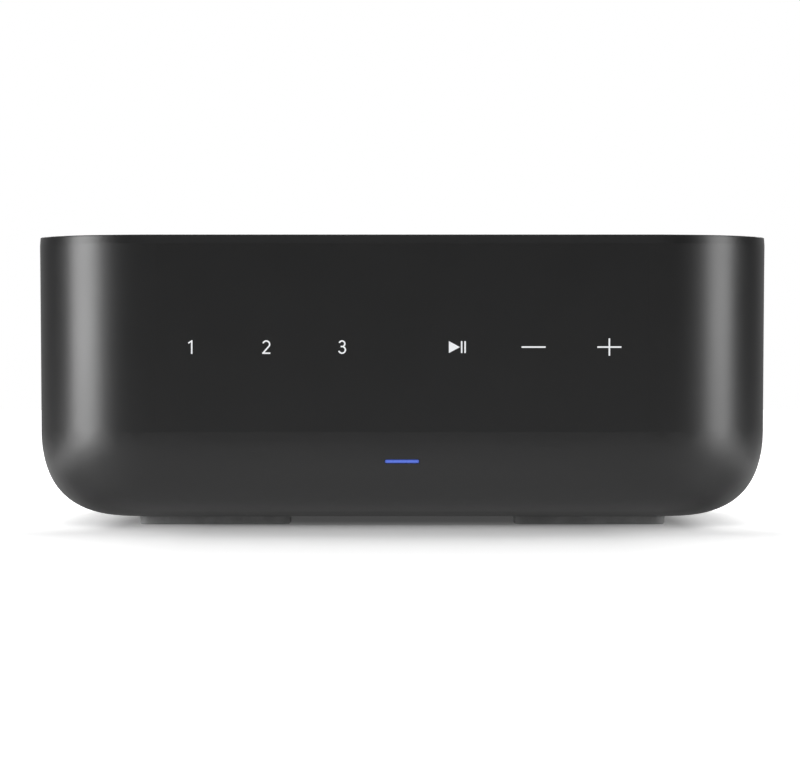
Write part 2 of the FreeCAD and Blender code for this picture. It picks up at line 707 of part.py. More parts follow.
def tub(half_x, half_y, corner, y_mid, z_low, z_high, rise, inset, lean=0, rim=0, band=0, tuck=0):
    """The shell's full form: four turned corners, four straight sides and a core."""
    fullness = s.curve_fullness.value
    start = FreeCAD.Vector(corner - lean, 0, z_low + rise)
    end = FreeCAD.Vector(corner - inset, 0, z_low)
    upright = FreeCAD.Vector(lean, 0, z_high - band - start.z).normalize()
    curve = Part.BezierCurve()
    curve.setPoles([start, start - upright * fullness * rise, end + X_AXIS * fullness * inset, end])
    wall_end = FreeCAD.Vector(corner, 0, z_high - band)
    high = FreeCAD.Vector(0, 0, z_high)
    low = FreeCAD.Vector(0, 0, z_low)
    edges = [Part.LineSegment(low, high).toShape()]
    if rim > 0:
        rim_centre = FreeCAD.Vector(corner - tuck - rim, 0, z_high - rim)
        bulge = math.sin(math.radians(QUARTER_TURN / 2)) * rim
        rim_end = rim_centre + Z_AXIS * rim
        rim_start = rim_centre + X_AXIS * rim
        rim_mid = rim_centre + (X_AXIS + Z_AXIS) * bulge
        edges.append(Part.LineSegment(high, rim_end).toShape())
        edges.append(Part.Arc(rim_end, rim_mid, rim_start).toShape())
        edges.append(Part.LineSegment(rim_start, wall_end).toShape())
    else:
        edges.append(Part.LineSegment(high, wall_end).toShape())
    edges.append(Part.LineSegment(wall_end, start).toShape())
    edges.append(curve.toShape())
    edges.append(Part.LineSegment(end, low).toShape())
    profile = Part.Face(Part.Wire(edges))
    pieces = []
    straight_x, straight_y = 2 * (half_x - corner), 2 * (half_y - corner)
    for quarter in range(4):
        along_x = (1, -1, -1, 1)[quarter]
        along_y = (1, 1, -1, -1)[quarter]
        corner_axis = FreeCAD.Vector(along_x * (half_x - corner), y_mid + along_y * (half_y - corner), 0)
        section = profile.copy()
        section.rotate(FreeCAD.Vector(), Z_AXIS, QUARTER_TURN * quarter)
        section.translate(corner_axis)
        pieces.append(section.revolve(corner_axis, Z_AXIS, QUARTER_TURN))
        back_along = (-Y_AXIS, X_AXIS, Y_AXIS, -X_AXIS)[quarter]
        pieces.append(section.extrude(back_along * (straight_y if quarter % 2 == 0 else straight_x)))
    core = Part.makeBox(
        straight_x,
        straight_y,
        z_high - z_low,
        FreeCAD.Vector(corner - half_x, y_mid + corner - half_y, z_low),
    )
    return core.multiFuse(pieces).removeSplitter()


def outer_form():
    """The outside of the shell, solid right through."""
    return tub(
        side.value,
        s.body_depth.value / 2,
        s.corner_radius.value,
        middle.value,
        underside.value,
        top.value,
        s.curve_rise.value,
        s.curve_inset.value,
        s.draft_inset.value,
        s.rim_radius.value,
        s.rim_band.value,
        s.rim_lean.value,
    )


def inner_form():
    """The space inside the shell, open above."""
    wall = s.shell_wall.value
    return tub(
        side.value - wall,
        s.body_depth.value / 2 - wall,
        s.corner_radius.value - wall,
        middle.value,
        floor.value,
        top.value + wall,
        s.curve_rise.value - wall,
        s.curve_inset.value - wall,
    )


def ledge_form():
    """The ring inside the rim that the lid lies on."""
    wall, width = s.shell_wall.value, s.ledge_width.value
    half_x, half_y = side.value, s.body_depth.value / 2
    corner = s.corner_radius.value
    low, high = (lid_low - s.ledge_thickness).value, lid_low.value
    bite = s.lid_gap.value
    ring = rounded_block(
        half_x - wall + bite, half_y - wall + bite, corner - wall + bite, middle.value, low, high
    )
    reach = wall + width
    below, above = low - s.overcut.value, high + s.overcut.value
    hole = rounded_block(half_x - reach, half_y - reach, corner - reach, middle.value, below, above)
    return ring.cut(hole)


# Legends on the front


def stroke(x_from, z_from, x_to, z_to, width):
    """A straight stroke with square ends, as a face across the front."""
    start = FreeCAD.Vector(x_from, 0, z_from)
    end = FreeCAD.Vector(x_to, 0, z_to)
    across = (end - start).cross(Y_AXIS).normalize() * (width / 2)
    corners = [start - across, end - across, end + across, start + across, start - across]
    return Part.Face(Part.makePolygon(corners))


def bow(x, z, radius, start, end, width):
    """A round stroke about a centre, from one angle to another, counted from +X towards +Z."""
    outer, inner = radius + width / 2, radius - width / 2

    def at(reach, angle):
        angle = math.radians(angle)
        return FreeCAD.Vector(x + reach * math.cos(angle), 0, z + reach * math.sin(angle))

    half_way = (start + end) / 2
    edges = [
        Part.Arc(at(outer, start), at(outer, half_way), at(outer, end)).toShape(),
        Part.LineSegment(at(outer, end), at(inner, end)).toShape(),
        Part.Arc(at(inner, end), at(inner, half_way), at(inner, start)).toShape(),
        Part.LineSegment(at(inner, start), at(outer, start)).toShape(),
    ]
    return Part.Face(Part.Wire(edges))


def numeral_one(height, line):
    """An upright with a short flag at its head."""
    stem = s.one_stem.value
    half = height / 2
    flag_x, flag_z = stem - s.one_flag_reach.value, half - s.one_flag_drop.value
    return [
        stroke(stem, -half, stem, half, line),
        stroke(flag_x, flag_z, stem, half - line / 2, s.one_flag_stroke.value),
    ]


def numeral_two(width, height, line):
    """A bow at the head, a slanted stroke and a level foot."""
    half = height / 2
    radius = (width - line) / 2
    head = half - line / 2 - radius
    foot = -half + line / 2
    leave = -TWO_SLANT_START
    leave_x = radius * math.cos(math.radians(leave))
    leave_z = head + radius * math.sin(math.radians(leave))
    return [
        bow(0, head, radius, leave, BOW_END, line),
        stroke(leave_x, leave_z, -radius, foot, line),
        stroke(-width / 2, foot, width / 2, foot, line),
    ]


def numeral_three(width, height, line):
    """Two bows that meet in a short level stroke."""
    half = height / 2
    low_radius = (width - line) / 2
    high_radius = (height - line) / 2 - low_radius
    high = half - line / 2 - high_radius
    low = -half + line / 2 + low_radius
    waist = high - high_radius
    return [
        bow(0, high, high_radius, -QUARTER_TURN, BOW_END, line),
        bow(0, low, low_radius, -BOW_END, QUARTER_TURN, line),
        stroke(-s.three_waist.value, waist, 0, waist, line),
    ]


def play_sign(line):
    """A triangle and two upright bars."""
    half_height = s.play_height.value / 2
    left = -(s.play_width + (s.pause_stroke + s.pause_gap) * 2).value / 2
    tip = left + s.play_width.value
    corners = [
        FreeCAD.Vector(left, 0, -half_height),
        FreeCAD.Vector(tip, 0, 0),
        FreeCAD.Vector(left, 0, half_height),
        FreeCAD.Vector(left, 0, -half_height),
    ]
    faces = [Part.Face(Part.makePolygon(corners))]
    for bar in range(2):
        x = tip + s.pause_gap.value / 2 + (s.pause_stroke + s.pause_gap).value * bar + line / 2
        faces.append(stroke(x, -half_height, x, half_height, line))
    return faces


def minus_sign(line):
    """One level stroke."""
    half = s.sign_width.value / 2
    return [stroke(-half, 0, half, 0, line)]


def plus_sign(line):
    """A level and an upright stroke."""
    half = s.plus_height.value / 2
    return [*minus_sign(line), stroke(0, -half, 0, half, line)]


def legend_prisms():
    """Every legend as prisms right through the front wall, at its place."""
    width, height, line = s.numeral_width.value, s.numeral_height.value, s.numeral_stroke.value
    numerals = [
        numeral_one(height, line),
        numeral_two(width, height, line),
        numeral_three(width, height, line),
    ]
    sign_line = s.sign_stroke.value
    signs = [play_sign(s.pause_stroke.value), minus_sign(sign_line), plus_sign(sign_line)]
    solids = []
    for number, faces in enumerate(numerals):
        x = -(s.preset_start + legend_pitch * (legend_steps - number)).value
        solids.append(legend_at(x, faces))
    for number, faces in enumerate(signs):
        x = (s.transport_start + legend_pitch * number).value
        solids.append(legend_at(x, faces))
    return Part.makeCompound([piece for solid in solids for piece in solid.Solids])


def legend_at(x, faces):
    """One legend, from just outside the front to the inner face of the wall."""
    outside = front.value - s.fit_gap.value
    depth = (s.shell_wall + s.fit_gap).value
    solids = []
    for face in faces:
        prism = face.extrude(Y_AXIS * depth)
        prism.translate(FreeCAD.Vector(x, outside, s.legend_height.value))
        solids.append(prism)
    return solids[0] if len(solids) == 1 else solids[0].multiFuse(solids[1:]).removeSplitter()


# The shell and what is moulded with it


def light_bar_block(name, length, width, y_low, y_high):
    """A bar with round ends that runs front to back."""
    straight = (size(length) - width) / 2
    radius = size(width) / 2
    depth = size(y_high) - y_low
    middle_block = block(
        name + "_core",
        -straight,
        straight,
        y_low,
        y_high,
        s.light_bar_height - radius,
        s.light_bar_height + radius,
    )
    left = rod(name + "_left", radius, depth, -straight, y_low, s.light_bar_height, "Y")
    right = rod(name + "_right", radius, depth, straight, y_low, s.light_bar_height, "Y")
    return join(name, [middle_block, left, right])


def foot_places():
    """The middles of the four feet."""
    return [
        (s.foot_x * x_sign, middle + s.foot_y * y_sign) for y_sign in (-1, 1) for x_sign in (-1, 1)
    ]


def boss_places():
    """The middles of the four bosses on the shell's floor."""
    return [
        (s.boss_x * x_sign, middle + s.boss_y * y_sign) for y_sign in (-1, 1) for x_sign in (-1, 1)
    ]


def front_pin_places():
    """The middles of the four pins behind the front wall."""
    return [
        (front_pin_x * x_sign, s.front_boss_low + s.front_boss_rise * level)
        for level in (0, 1)
        for x_sign in (-1, 1)
    ]


def rail(name, x_sign):
    """An upright guide that holds one edge of the rear panel against the wall."""
    edge = s.panel_width / 2
    low, high = s.panel_low, lid_low - s.ledge_thickness
    near, far = edge - s.rail_overlap, edge + s.rail_overlap
    root = edge + s.fit_gap
    behind = panel_in - s.fit_gap
    arm_x = (near, far) if x_sign > 0 else (-far, -near)
    root_x = (root, far) if x_sign > 0 else (-far, -root)
    arm = block(name + "_arm", *arm_x, behind - s.rail_thickness, behind, low, high)
    web = block(name + "_web", *root_x, behind, inner_back + s.fit_gap, low, high)
    return join(name, [arm, web])


def outer_shell():
    """The moulded tub with its ledge, bosses, rails, slots and openings."""
    body = cut("shell_walls", formed("shell_form", outer_form()), [formed("shell_space", inner_form())])
    grown = [body, formed("lid_ledge", ledge_form())]
    for number, (x, y) in enumerate(boss_places()):
        height = s.boss_height + s.fit_gap
        grown.append(rod("floor_boss%d" % number, s.boss_radius, height, x, y, floor - s.fit_gap, "Z"))
    pin_length = front_board_front - inner_front + s.fit_gap
    for number, (x, z) in enumerate(front_pin_places()):
        root = inner_front - s.fit_gap
        grown.append(rod("front_pin%d" % number, s.front_boss_radius, pin_length, x, root, z, "Y"))
    grown += [rail("left_rail", -1), rail("right_rail", 1)]
    solid = join("shell_solid", grown)
    tools = [formed("legend_cutter", legend_prisms())]
    bar_length = s.light_bar_length + s.light_bar_gap
    bar_width = s.light_bar_width + s.light_bar_gap
    before = front - s.overcut
    tools.append(light_bar_block("light_bar_slot", bar_length, bar_width, before, front_board_front))
    opening = upright_plate(
        "rear_opening",
        s.opening_width,
        opening_top - opening_low,
        s.shell_wall + s.overcut * 2,
        0,
        back + s.overcut,
        (opening_low + opening_top) / 2,
        s.opening_corner,
    )
    tools.append(opening)
    for number, (x, y) in enumerate(foot_places()):
        tools.append(
            plate(
                "foot_pocket%d" % number,
                s.foot_length + s.fit_gap * 2,
                s.foot_depth + s.fit_gap * 2,
                s.foot_pocket + s.overcut,
                x,
                y,
                underside - s.overcut,
                s.foot_corner + s.fit_gap,
            )
        )
    for number, (x, y) in enumerate(boss_places()):
        tools.append(rod("boss_hole%d" % number, screw_hole, s.boss_height, x, y, floor, "Z"))
    depth = s.light_guide_depth + s.overcut
    for number, (x, z) in enumerate(front_pin_places()):
        tools.append(rod("pin_hole%d" % number, screw_hole, depth, x, inner_front + s.thread_gap, z, "Y"))
    tools += vent_slots("floor_vent", underside, floor)
    return sub_part("outer_shell", cut("outer_shell", solid, tools))


def vent_slots(name, low, high):
    """Two rows of round-ended cooling slots, right through a floor between two heights."""
    slots = []
    bottom = low - s.overcut
    thickness = high - low + s.overcut * 2
    reach = int(round(s.vents_each_side.value))
    for row in (-1, 1):
        for column in range(-reach, reach + 1):
            slots.append(
                plate(
                    "%s_%d_%d" % (name, row + 1, column + reach),
                    s.vent_width,
                    s.vent_length,
                    thickness,
                    s.vent_pitch * column,
                    middle + s.vent_y * row,
                    bottom,
                    s.vent_corner,
                )
            )
    return slots


def lid():
    """The flat lid, with snap hooks that catch under the ledge."""
    width = (inner_side - s.lid_gap) * 2
    length = s.body_depth - (s.shell_wall + s.lid_gap) * 2
    body = plate(
        "lid_plate",
        width,
        length,
        s.lid_thickness,
        0,
        middle,
        lid_low,
        s.corner_radius - s.shell_wall - s.lid_gap,
    )
    soften(body, s.lid_edge_radius, is_at(s.lid_thickness.value))
    reach_x = inner_side - s.ledge_width - s.fit_gap
    reach_y = s.body_depth / 2 - s.shell_wall - s.ledge_width - s.fit_gap
    low = lid_low - s.ledge_thickness - s.fit_gap - s.hook_barb
    barb_top = lid_low - s.ledge_thickness - s.fit_gap
    pieces = [body]
    half = s.hook_width / 2
    for sign in (-1, 1):
        for place_sign in (-1, 1):
            along = s.hook_offset * place_sign
            inner, outer = (reach_x - s.hook_thickness) * sign, reach_x * sign
            tip = (reach_x + s.hook_bite) * sign
            y_low, y_high = middle + along - half, middle + along + half
            low_x, high_x = (inner, outer) if sign > 0 else (outer, inner)
            tip_low, tip_high = (inner, tip) if sign > 0 else (tip, inner)
            name = "side_hook_%d_%d" % (sign + 1, place_sign + 1)
            pieces.append(block(name, low_x, high_x, y_low, y_high, low, lid_low + s.fit_gap))
            pieces.append(block(name + "_barb", tip_low, tip_high, y_low, y_high, low, barb_top))
    for place_sign in (-1, 1):
        along = s.hook_offset * place_sign
        inner, outer = middle - reach_y + s.hook_thickness, middle - reach_y
        tip = middle - reach_y - s.hook_bite
        name = "front_hook_%d" % (place_sign + 1)
        pieces.append(block(name, along - half, along + half, outer, inner, low, lid_low + s.fit_gap))
        pieces.append(block(name + "_barb", along - half, along + half, tip, inner, low, barb_top))
    return sub_part("lid", join("lid", pieces))


def feet():
    """Four rubber pads, glued into pockets."""
    pads = []
    for number, (x, y) in enumerate(foot_places()):
        body = plate(
            "foot%d" % number,
            s.foot_length,
            s.foot_depth,
            s.foot_height + s.foot_pocket,
            x,
            y,
            0,
            s.foot_corner,
        )
        soften(body, s.foot_edge_radius, is_at(0.0))
        pads.append(body)
    sub_part("rubber_feet", group("rubber_feet", pads))


# Front legends, light bar and touch board


def front_lights():
    """The lit legends, the light pipe and the lamps behind it."""
    prisms = legend_prisms()
    skin = outer_form()
    inlays = [solid.common(skin) for solid in prisms.Solids]
    numerals = [solid for inlay in inlays[:3] for solid in inlay.Solids]
    signs = [solid for inlay in inlays[3:] for solid in inlay.Solids]
    sub_part("preset_numerals", formed("preset_numerals", Part.makeCompound(numerals)))
    sub_part("transport_signs", formed("transport_signs", Part.makeCompound(signs)))
    pipe_end = front + s.light_pipe_reach
    pipe = light_bar_block("light_pipe_bar", s.light_bar_length, s.light_bar_width, front, pipe_end)
    sub_part("status_light_pipe", overlap("status_light_pipe", pipe, formed("pipe_form", skin)))
    leds = []
    half = s.led_size / 2
    for number in (-1, 0, 1):
        x = s.led_pitch * number
        leds.append(
            block(
                "status_led%d" % (number + 1),
                x - half,
                x + half,
                pipe_end + s.thread_gap,
                front_board_front,
                s.light_bar_height - half,
                s.light_bar_height + half,
            )
        )
    sub_part("status_leds", group("status_leds", leds))


def touch_board():
    """The touch film, the light guide and the board that they lie on."""
    film_back = inner_front + s.sensor_film
    film = upright_plate(
        "touch_film_strip",
        guide_length,
        s.sensor_height,
        s.sensor_film,
        0,
        film_back,
        s.legend_height,
    )
    clear = s.front_boss_radius + s.fit_gap
    notches = [
        rod("film_notch%d" % n, clear, s.sensor_film + s.overcut * 2, x, inner_front - s.overcut, z, "Y")
        for n, (x, z) in enumerate(front_pin_places())
    ]
    sub_part("touch_film", cut("touch_film", film, notches))
    guide = upright_plate(
        "guide_bar",
        guide_length,
        s.light_guide_height,
        s.light_guide_depth,
        0,
        front_board_front,
        s.legend_height,
        s.light_guide_corner,
    )
    sub_part("legend_light_guide", guide)
    centre_z = s.front_board_low + s.front_board_height / 2
    holes = [(x, z - centre_z, screw_hole) for x, z in front_pin_places()]
    board = upright_plate(
        "front_board_plate",
        (guide_half + s.front_board_margin) * 2,
        s.front_board_height,
        s.board_thickness,
        0,
        front_board_back,
        centre_z,
        s.board_corner,
        holes,
    )
    sub_part("front_board", board)
    reach = s.board_thickness + s.short_grip
    for number, (x, z) in enumerate(front_pin_places()):
        fixings.append(screw("front_screw%d" % number, x, front_board_back, z, "Y", reach, True))


# Chassis plate and its boards


def board_corners(x_mid, width):
    """The middles of the pillars under a board."""
    reach = size(width) / 2 - s.standoff_inset
    near, far = board_front_edge + s.standoff_inset, board_back_edge - s.standoff_inset
    return [(size(x_mid) + reach * sign, y) for y in (near, far) for sign in (-1, 1)]


def chassis():
    """The steel plate, its screws and the pillars that carry the boards."""
    holes = [(x, y - middle, screw_hole) for x, y in boss_places()]
    pillars = board_corners(-s.power_board_x, s.power_board_width)
    pillars += board_corners(s.amp_board_x, s.amp_board_width)
    base = plate(
        "chassis_sheet",
        s.chassis_size,
        s.chassis_size,
        s.chassis_thickness,
        0,
        middle,
        chassis_low,
        s.chassis_corner,
        holes,
    )
    slots = vent_slots("chassis_vent", chassis_low, chassis_top)
    sub_part("chassis_plate", cut("chassis_plate", base, slots))
    screws = [
        screw("chassis_screw%d" % n, x, y, chassis_top, "Z", s.boss_height, True)
        for n, (x, y) in enumerate(boss_places())
    ]
    sub_part("chassis_screws", group("chassis_screws", screws))
    for number, (x, y) in enumerate(pillars):
        post = rod("standoff_post%d" % number, s.standoff_radius, s.standoff_height, x, y, chassis_top, "Z")
        bottom = chassis_top + s.overcut
        hole = rod("standoff_hole%d" % number, screw_hole, s.standoff_height, x, y, bottom, "Z")
        standoffs.append(cut("standoff%d" % number, post, [hole]))
        reach = s.board_thickness + s.short_grip
        fixings.append(screw("board_screw%d" % number, x, y, board_top, "Z", reach, True))


def main_board(name, x_mid, width):
    """A board on the chassis, with a hole over each pillar."""
    centre_y = (board_front_edge + board_back_edge) / 2
    holes = [(x - x_mid, y - centre_y, screw_hole) for x, y in board_corners(x_mid, width)]
    board = plate(
        name + "_plate",
        width,
        s.board_length,
        s.board_thickness,
        x_mid,
        centre_y,
        board_low,
        s.board_corner,
        holes,
    )
    sub_part(name, board)


def can(name, radius, height, x, y, z):
    """A capacitor: a turned can with a rounded shoulder and a crimped waist."""
    body = new_body(name, x, y, z)
    radius, height = size(radius), size(height)
    outline = [
        (ZERO, ZERO),
        (radius, ZERO),
        (radius, s.can_waist - s.can_lip),
        (radius - s.can_lip, s.can_waist),
        (radius, s.can_waist + s.can_lip),
        (radius, height),
        (ZERO, height),
    ]
    turn(body, draw(body, "XZ", [outline]))
    soften(body, s.can_lip, is_at(height.value))
    return body


def amplifier_parts():
    """Chips, heat sink, chokes and capacitors of the amplifier board."""
    x_mid = s.amp_board_x
    chips, inductors = [], []
    sink_y = middle + s.sink_y
    half = s.chip_size / 2
    for side_name, sign in (("left", -1), ("right", 1)):
        x = x_mid + s.chip_spread * sign
        name = "chip_" + side_name
        roof = board_top + s.chip_height
        chips.append(block(name, x - half, x + half, sink_y - half, sink_y + half, board_top, roof))
        for pair_name, place_sign in (("_a", -1), ("_b", 1)):
            inductors.append(
                plate(
                    "coil_" + side_name + pair_name,
                    s.coil_size,
                    s.coil_size,
                    s.coil_height,
                    x + s.coil_spread * place_sign,
                    board_back_edge - s.coil_inset,
                    board_top,
                    s.coil_corner,
                )
            )
            capacitors.append(
                can(
                    "smoothing_" + side_name + pair_name,
                    s.can_radius,
                    s.can_height,
                    x + s.can_spread * place_sign,
                    board_front_edge + s.can_inset,
                    board_top,
                )
            )
    sub_part("amplifier_chips", group("amplifier_chips", chips))
    sub_part("output_chokes", group("output_chokes", inductors))
    sink_low = board_top + s.chip_height
    sink_back = sink_y + s.sink_length / 2
    body = new_body("sink_body", x_mid, sink_back, sink_low)
    half_width = s.sink_width / 2
    fin_step = (s.sink_width - s.fin_thickness) / (s.fin_count - 1)
    fins = []
    for number in range(int(round(s.fin_count.value))):
        left = fin_step * number - half_width
        fins.append(
            [
                (left, s.sink_base / 2),
                (left + s.fin_thickness, s.sink_base / 2),
                (left + s.fin_thickness, s.sink_height),
                (left, s.sink_height),
            ]
        )
    pad(body, draw(body, "XZ", [rectangle(s.sink_width, s.sink_base, 0, s.sink_base / 2)]), s.sink_length)
    fin_body = new_body("sink_fins", x_mid, sink_back, sink_low)
    pad(fin_body, draw(fin_body, "XZ", fins), s.sink_length)
    sub_part("heat_sink", join("heat_sink", [body, fin_body]))


def network_parts():
    """The radio module on its pin strip, under a metal can."""
    x_mid = s.amp_board_x
    y_mid = board_front_edge + s.module_inset + s.module_length / 2
    low = board_top + s.module_rise
    board = plate(
        "module_plate",
        s.module_width,
        s.module_length,
        s.module_board,
        x_mid,
        y_mid,
        low,
        s.module_corner,
    )
    header = block(
        "module_header",
        x_mid - s.module_width / 2 + s.module_margin,
        x_mid + s.module_width / 2 - s.module_margin,
        y_mid + s.module_length / 2 - s.module_margin - s.module_header,
        y_mid + s.module_length / 2 - s.module_margin,
        board_top,
        low,
    )
    sub_part("network_module", join("network_module", [board, header]))
    shield_low = low + s.module_board
    can_cover = plate(
        "shield_can",
        s.module_width - s.shield_margin * 2,
        s.module_length - s.shield_margin * 2,
        s.shield_height,
        x_mid,
        y_mid,
        shield_low,
        s.module_corner,
    )
    soften(can_cover, s.shield_edge, is_at(s.shield_height.value))
    sub_part("network_shield", can_cover)


def power_parts():
    """The transformer, the mains filter and the capacitors of the power board."""
    x_mid = -s.power_board_x
    y_core = middle + s.core_y
    half_x, half_y = s.core_width / 2, s.core_length / 2
    low = board_top + s.core_rise
    high = low + s.core_height
    outer = block("core_block", x_mid - half_x, x_mid + half_x, y_core - half_y, y_core + half_y, low, high)
    inner = half_x - s.core_leg
    centre_leg = s.core_centre_leg / 2
    before, behind = y_core - half_y - s.overcut, y_core + half_y + s.overcut
    sill, lintel = low + s.core_leg, high - s.core_leg
    windows = [
        block("core_window_left", x_mid - inner, x_mid - centre_leg, before, behind, sill, lintel),
        block("core_window_right", x_mid + centre_leg, x_mid + inner, before, behind, sill, lintel),
    ]
    sub_part("transformer_core", cut("transformer_core", outer, windows))
    clear = s.winding_clearance
    wide, leg = inner - clear, centre_leg + clear
    end = half_y + s.winding_overhang
    roof = lintel - clear
    winding = block(
        "winding_block", x_mid - wide, x_mid + wide, y_core - end, y_core + end, sill + clear, roof
    )
    hollow = block(
        "winding_bore", x_mid - leg, x_mid + leg, y_core - half_y - clear, y_core + half_y + clear, low, high
    )
    sleeve = cut("winding_sleeve", winding, [hollow])
    near = half_y + clear
    front_foot = block(
        "bobbin_foot_front", x_mid - wide, x_mid + wide, y_core - end, y_core - near, board_top, roof
    )
    rear_foot = block(
        "bobbin_foot_rear", x_mid - wide, x_mid + wide, y_core + near, y_core + end, board_top, roof
    )
    sub_part("transformer_winding", join("transformer_winding", [sleeve, front_foot, rear_foot]))
    mains_y = board_back_edge - s.mains_inset
    capacitors.append(
        can(
            "mains_capacitor",
            s.main_can_radius,
            s.main_can_height,
            x_mid + s.main_can_radius,
            mains_y,
            board_top,
        )
    )
    ring_x = x_mid - s.toroid_x
    ring = rod("choke_ring", s.toroid_radius, s.toroid_height, ring_x, mains_y, board_top, "Z")
    below = board_top - s.overcut
    through = s.toroid_height + s.overcut * 2
    bore = rod("choke_bore", s.toroid_bore, through, ring_x, mains_y, below, "Z")
    sub_part("mains_choke", cut("mains_choke", ring, [bore]))
    for number in (-1, 0, 1):
        x = x_mid + s.output_pitch * number
        y = board_front_edge + s.output_inset
        name = "output_can%d" % (number + 1)
        capacitors.append(can(name, s.can_radius, s.can_height, x, y, board_top))


# Rear panel, its board and its sockets


def post_places():
    """Names and places of the four speaker posts; from behind, the left pair is at +X."""
    places = []
    for column, channel in ((0, "right"), (1, "left")):
        for level, pole in ((0, "negative"), (1, "positive")):
            x = s.post_x + s.post_pitch * column
            places.append((channel + "_" + pole, x, post_low + s.post_pitch * level))
    return places


def jack_places():
    """Names and places of the three jacks."""
    return [
        ("line_in_right", s.line_x, jack_low),
        ("line_in_left", s.line_x, jack_low + s.jack_pitch),
        ("subwoofer_out", s.sub_x, jack_low),
    ]


def pillar_places():
    """The middles of the pillars behind the rear panel: beside the inlet and between the speaker posts."""
    return [
        (x, z)
        for z in (s.panel_low + s.pillar_margin, panel_top - s.pillar_margin)
        for x in (-s.pillar_x, s.post_x + s.post_pitch / 2)
    ]


def rear_panel():
    """The plate that holds the sockets, its board, pillars and screws."""
    centre_z = panel_middle
    holes = [(x, z - centre_z, s.collar_neck_radius + s.thread_gap) for name, x, z in post_places()]
    holes += [(x, z - centre_z, s.jack_neck_radius + s.thread_gap) for name, x, z in jack_places()]
    holes += [(x, z - centre_z, screw_hole) for x, z in pillar_places()]
    holes.append((s.sub_x, socket_line - centre_z, s.button_radius + s.thread_gap))
    gap = s.fit_gap * 2
    windows = [
        rectangle(s.net_width + gap, s.net_tall + gap, s.net_x, net_height - centre_z),
        rectangle(s.usb_width + gap, s.usb_tall + gap, s.net_x, usb_height - centre_z),
        rectangle(s.optical_width + gap, s.optical_tall + gap, s.sub_x, optical_height - centre_z),
        rectangle(s.inlet_width + gap, s.inlet_tall + gap, s.inlet_x, socket_line - centre_z),
    ]
    panel = upright_plate(
        "rear_panel_plate",
        s.panel_width,
        panel_height,
        s.panel_thickness,
        0,
        panel_out,
        centre_z,
        None,
        holes,
        windows,
    )
    sub_part("rear_panel", panel)
    board_height = panel_height - s.socket_board_margin * 2
    board_holes = [(x, z - centre_z, s.stud_tail_radius + s.thread_gap) for name, x, z in post_places()]
    board_holes += [(x, z - centre_z, screw_hole) for x, z in pillar_places()]
    clear = s.inlet_board_gap * 2
    inlet_window = rectangle(
        s.inlet_width + clear, s.inlet_tall + clear, s.inlet_x, socket_line - centre_z
    )
    board = upright_plate(
        "socket_board_plate",
        s.socket_board_width,
        board_height,
        s.board_thickness,
        0,
        socket_board_back,
        centre_z,
        None,
        board_holes,
        [inlet_window],
    )
    sub_part("socket_board", board)
    outer_screws = []
    for number, (x, z) in enumerate(pillar_places()):
        post = rod("pillar_post%d" % number, s.standoff_radius, s.pillar_length, x, socket_board_back, z, "Y")
        start = socket_board_back - s.overcut
        hole = rod("pillar_hole%d" % number, screw_hole, s.pillar_length + s.overcut * 2, x, start, z, "Y")
        standoffs.append(cut("pillar%d" % number, post, [hole]))
        grip = s.screw_grip
        reach = s.panel_thickness + grip
        outer_screws.append(screw("panel_screw%d" % number, x, panel_out, z, "Y", reach, True))
        reach = s.board_thickness + grip
        fixings.append(screw("socket_screw%d" % number, x, socket_board_front, z, "Y", reach, False))
    sub_part("panel_screws", group("panel_screws", outer_screws))


def speaker_posts():
    """Collars, studs and nuts of the four speaker posts."""
    collars, studs, nuts = [], [], []
    neck = s.collar_neck_radius
    inner_side_of_nut = panel_in - s.nut_thickness
    stud_bore = s.stud_radius + s.thread_gap
    for name, x, z in post_places():
        collar = [
            (stud_bore, -s.panel_thickness),
            (neck, -s.panel_thickness),
            (neck, ZERO),
            (s.collar_radius, ZERO),
            (s.collar_radius, s.collar_thickness - s.collar_chamfer),
            (s.collar_radius - s.collar_chamfer, s.collar_thickness),
            (stud_bore, s.collar_thickness),
        ]
        collars.append(turned("collar_" + name, collar, x, panel_out, z))
        tail = socket_board_front - s.tail_stub - panel_out
        stud_end = s.collar_thickness + s.stud_flange + s.stud_reach
        flange_low = s.collar_thickness
        bore_low = stud_end - s.plug_bore_depth
        shank_end = -s.panel_thickness - s.nut_thickness - s.stud_past_nut
        outline = [
            (ZERO, tail),
            (s.stud_tail_radius, tail),
            (s.stud_tail_radius, shank_end),
            (s.stud_radius, shank_end),
            (s.stud_radius, flange_low),
            (s.stud_flange_radius, flange_low),
            (s.stud_flange_radius, flange_low + s.stud_flange),
            (s.stud_radius, flange_low + s.stud_flange),
            (s.stud_radius, stud_end - s.stud_chamfer),
            (s.stud_radius - s.stud_chamfer, stud_end),
            (s.plug_bore_radius, stud_end),
            (s.plug_bore_radius, bore_low),
            (ZERO, bore_low),
        ]
        studs.append(turned("stud_" + name, outline, x, panel_out, z))
        nut = doc.addObject("Part::Prism", "nut_" + name)
        nut.Polygon = 6
        bind(nut, "Circumradius", s.nut_radius)
        bind(nut, "Height", s.nut_thickness)
        nut.Placement = FreeCAD.Placement(FreeCAD.Vector(), TURNS["Y"])
        place(nut, x, inner_side_of_nut, z)
        before = inner_side_of_nut - s.overcut
        through = s.nut_thickness + s.overcut * 2
        bore = rod("nut_bore_" + name, stud_bore, through, x, before, z, "Y")
        nuts.append(cut("post_nut_" + name, nut, [bore]))
    red, black = collars[1::2], collars[0::2]
    sub_part("positive_collars", group("positive_collars", red))
    sub_part("negative_collars", group("negative_collars", black))
    sub_part("post_studs", group("post_studs", studs))
    sub_part("post_nuts", group("post_nuts", nuts))


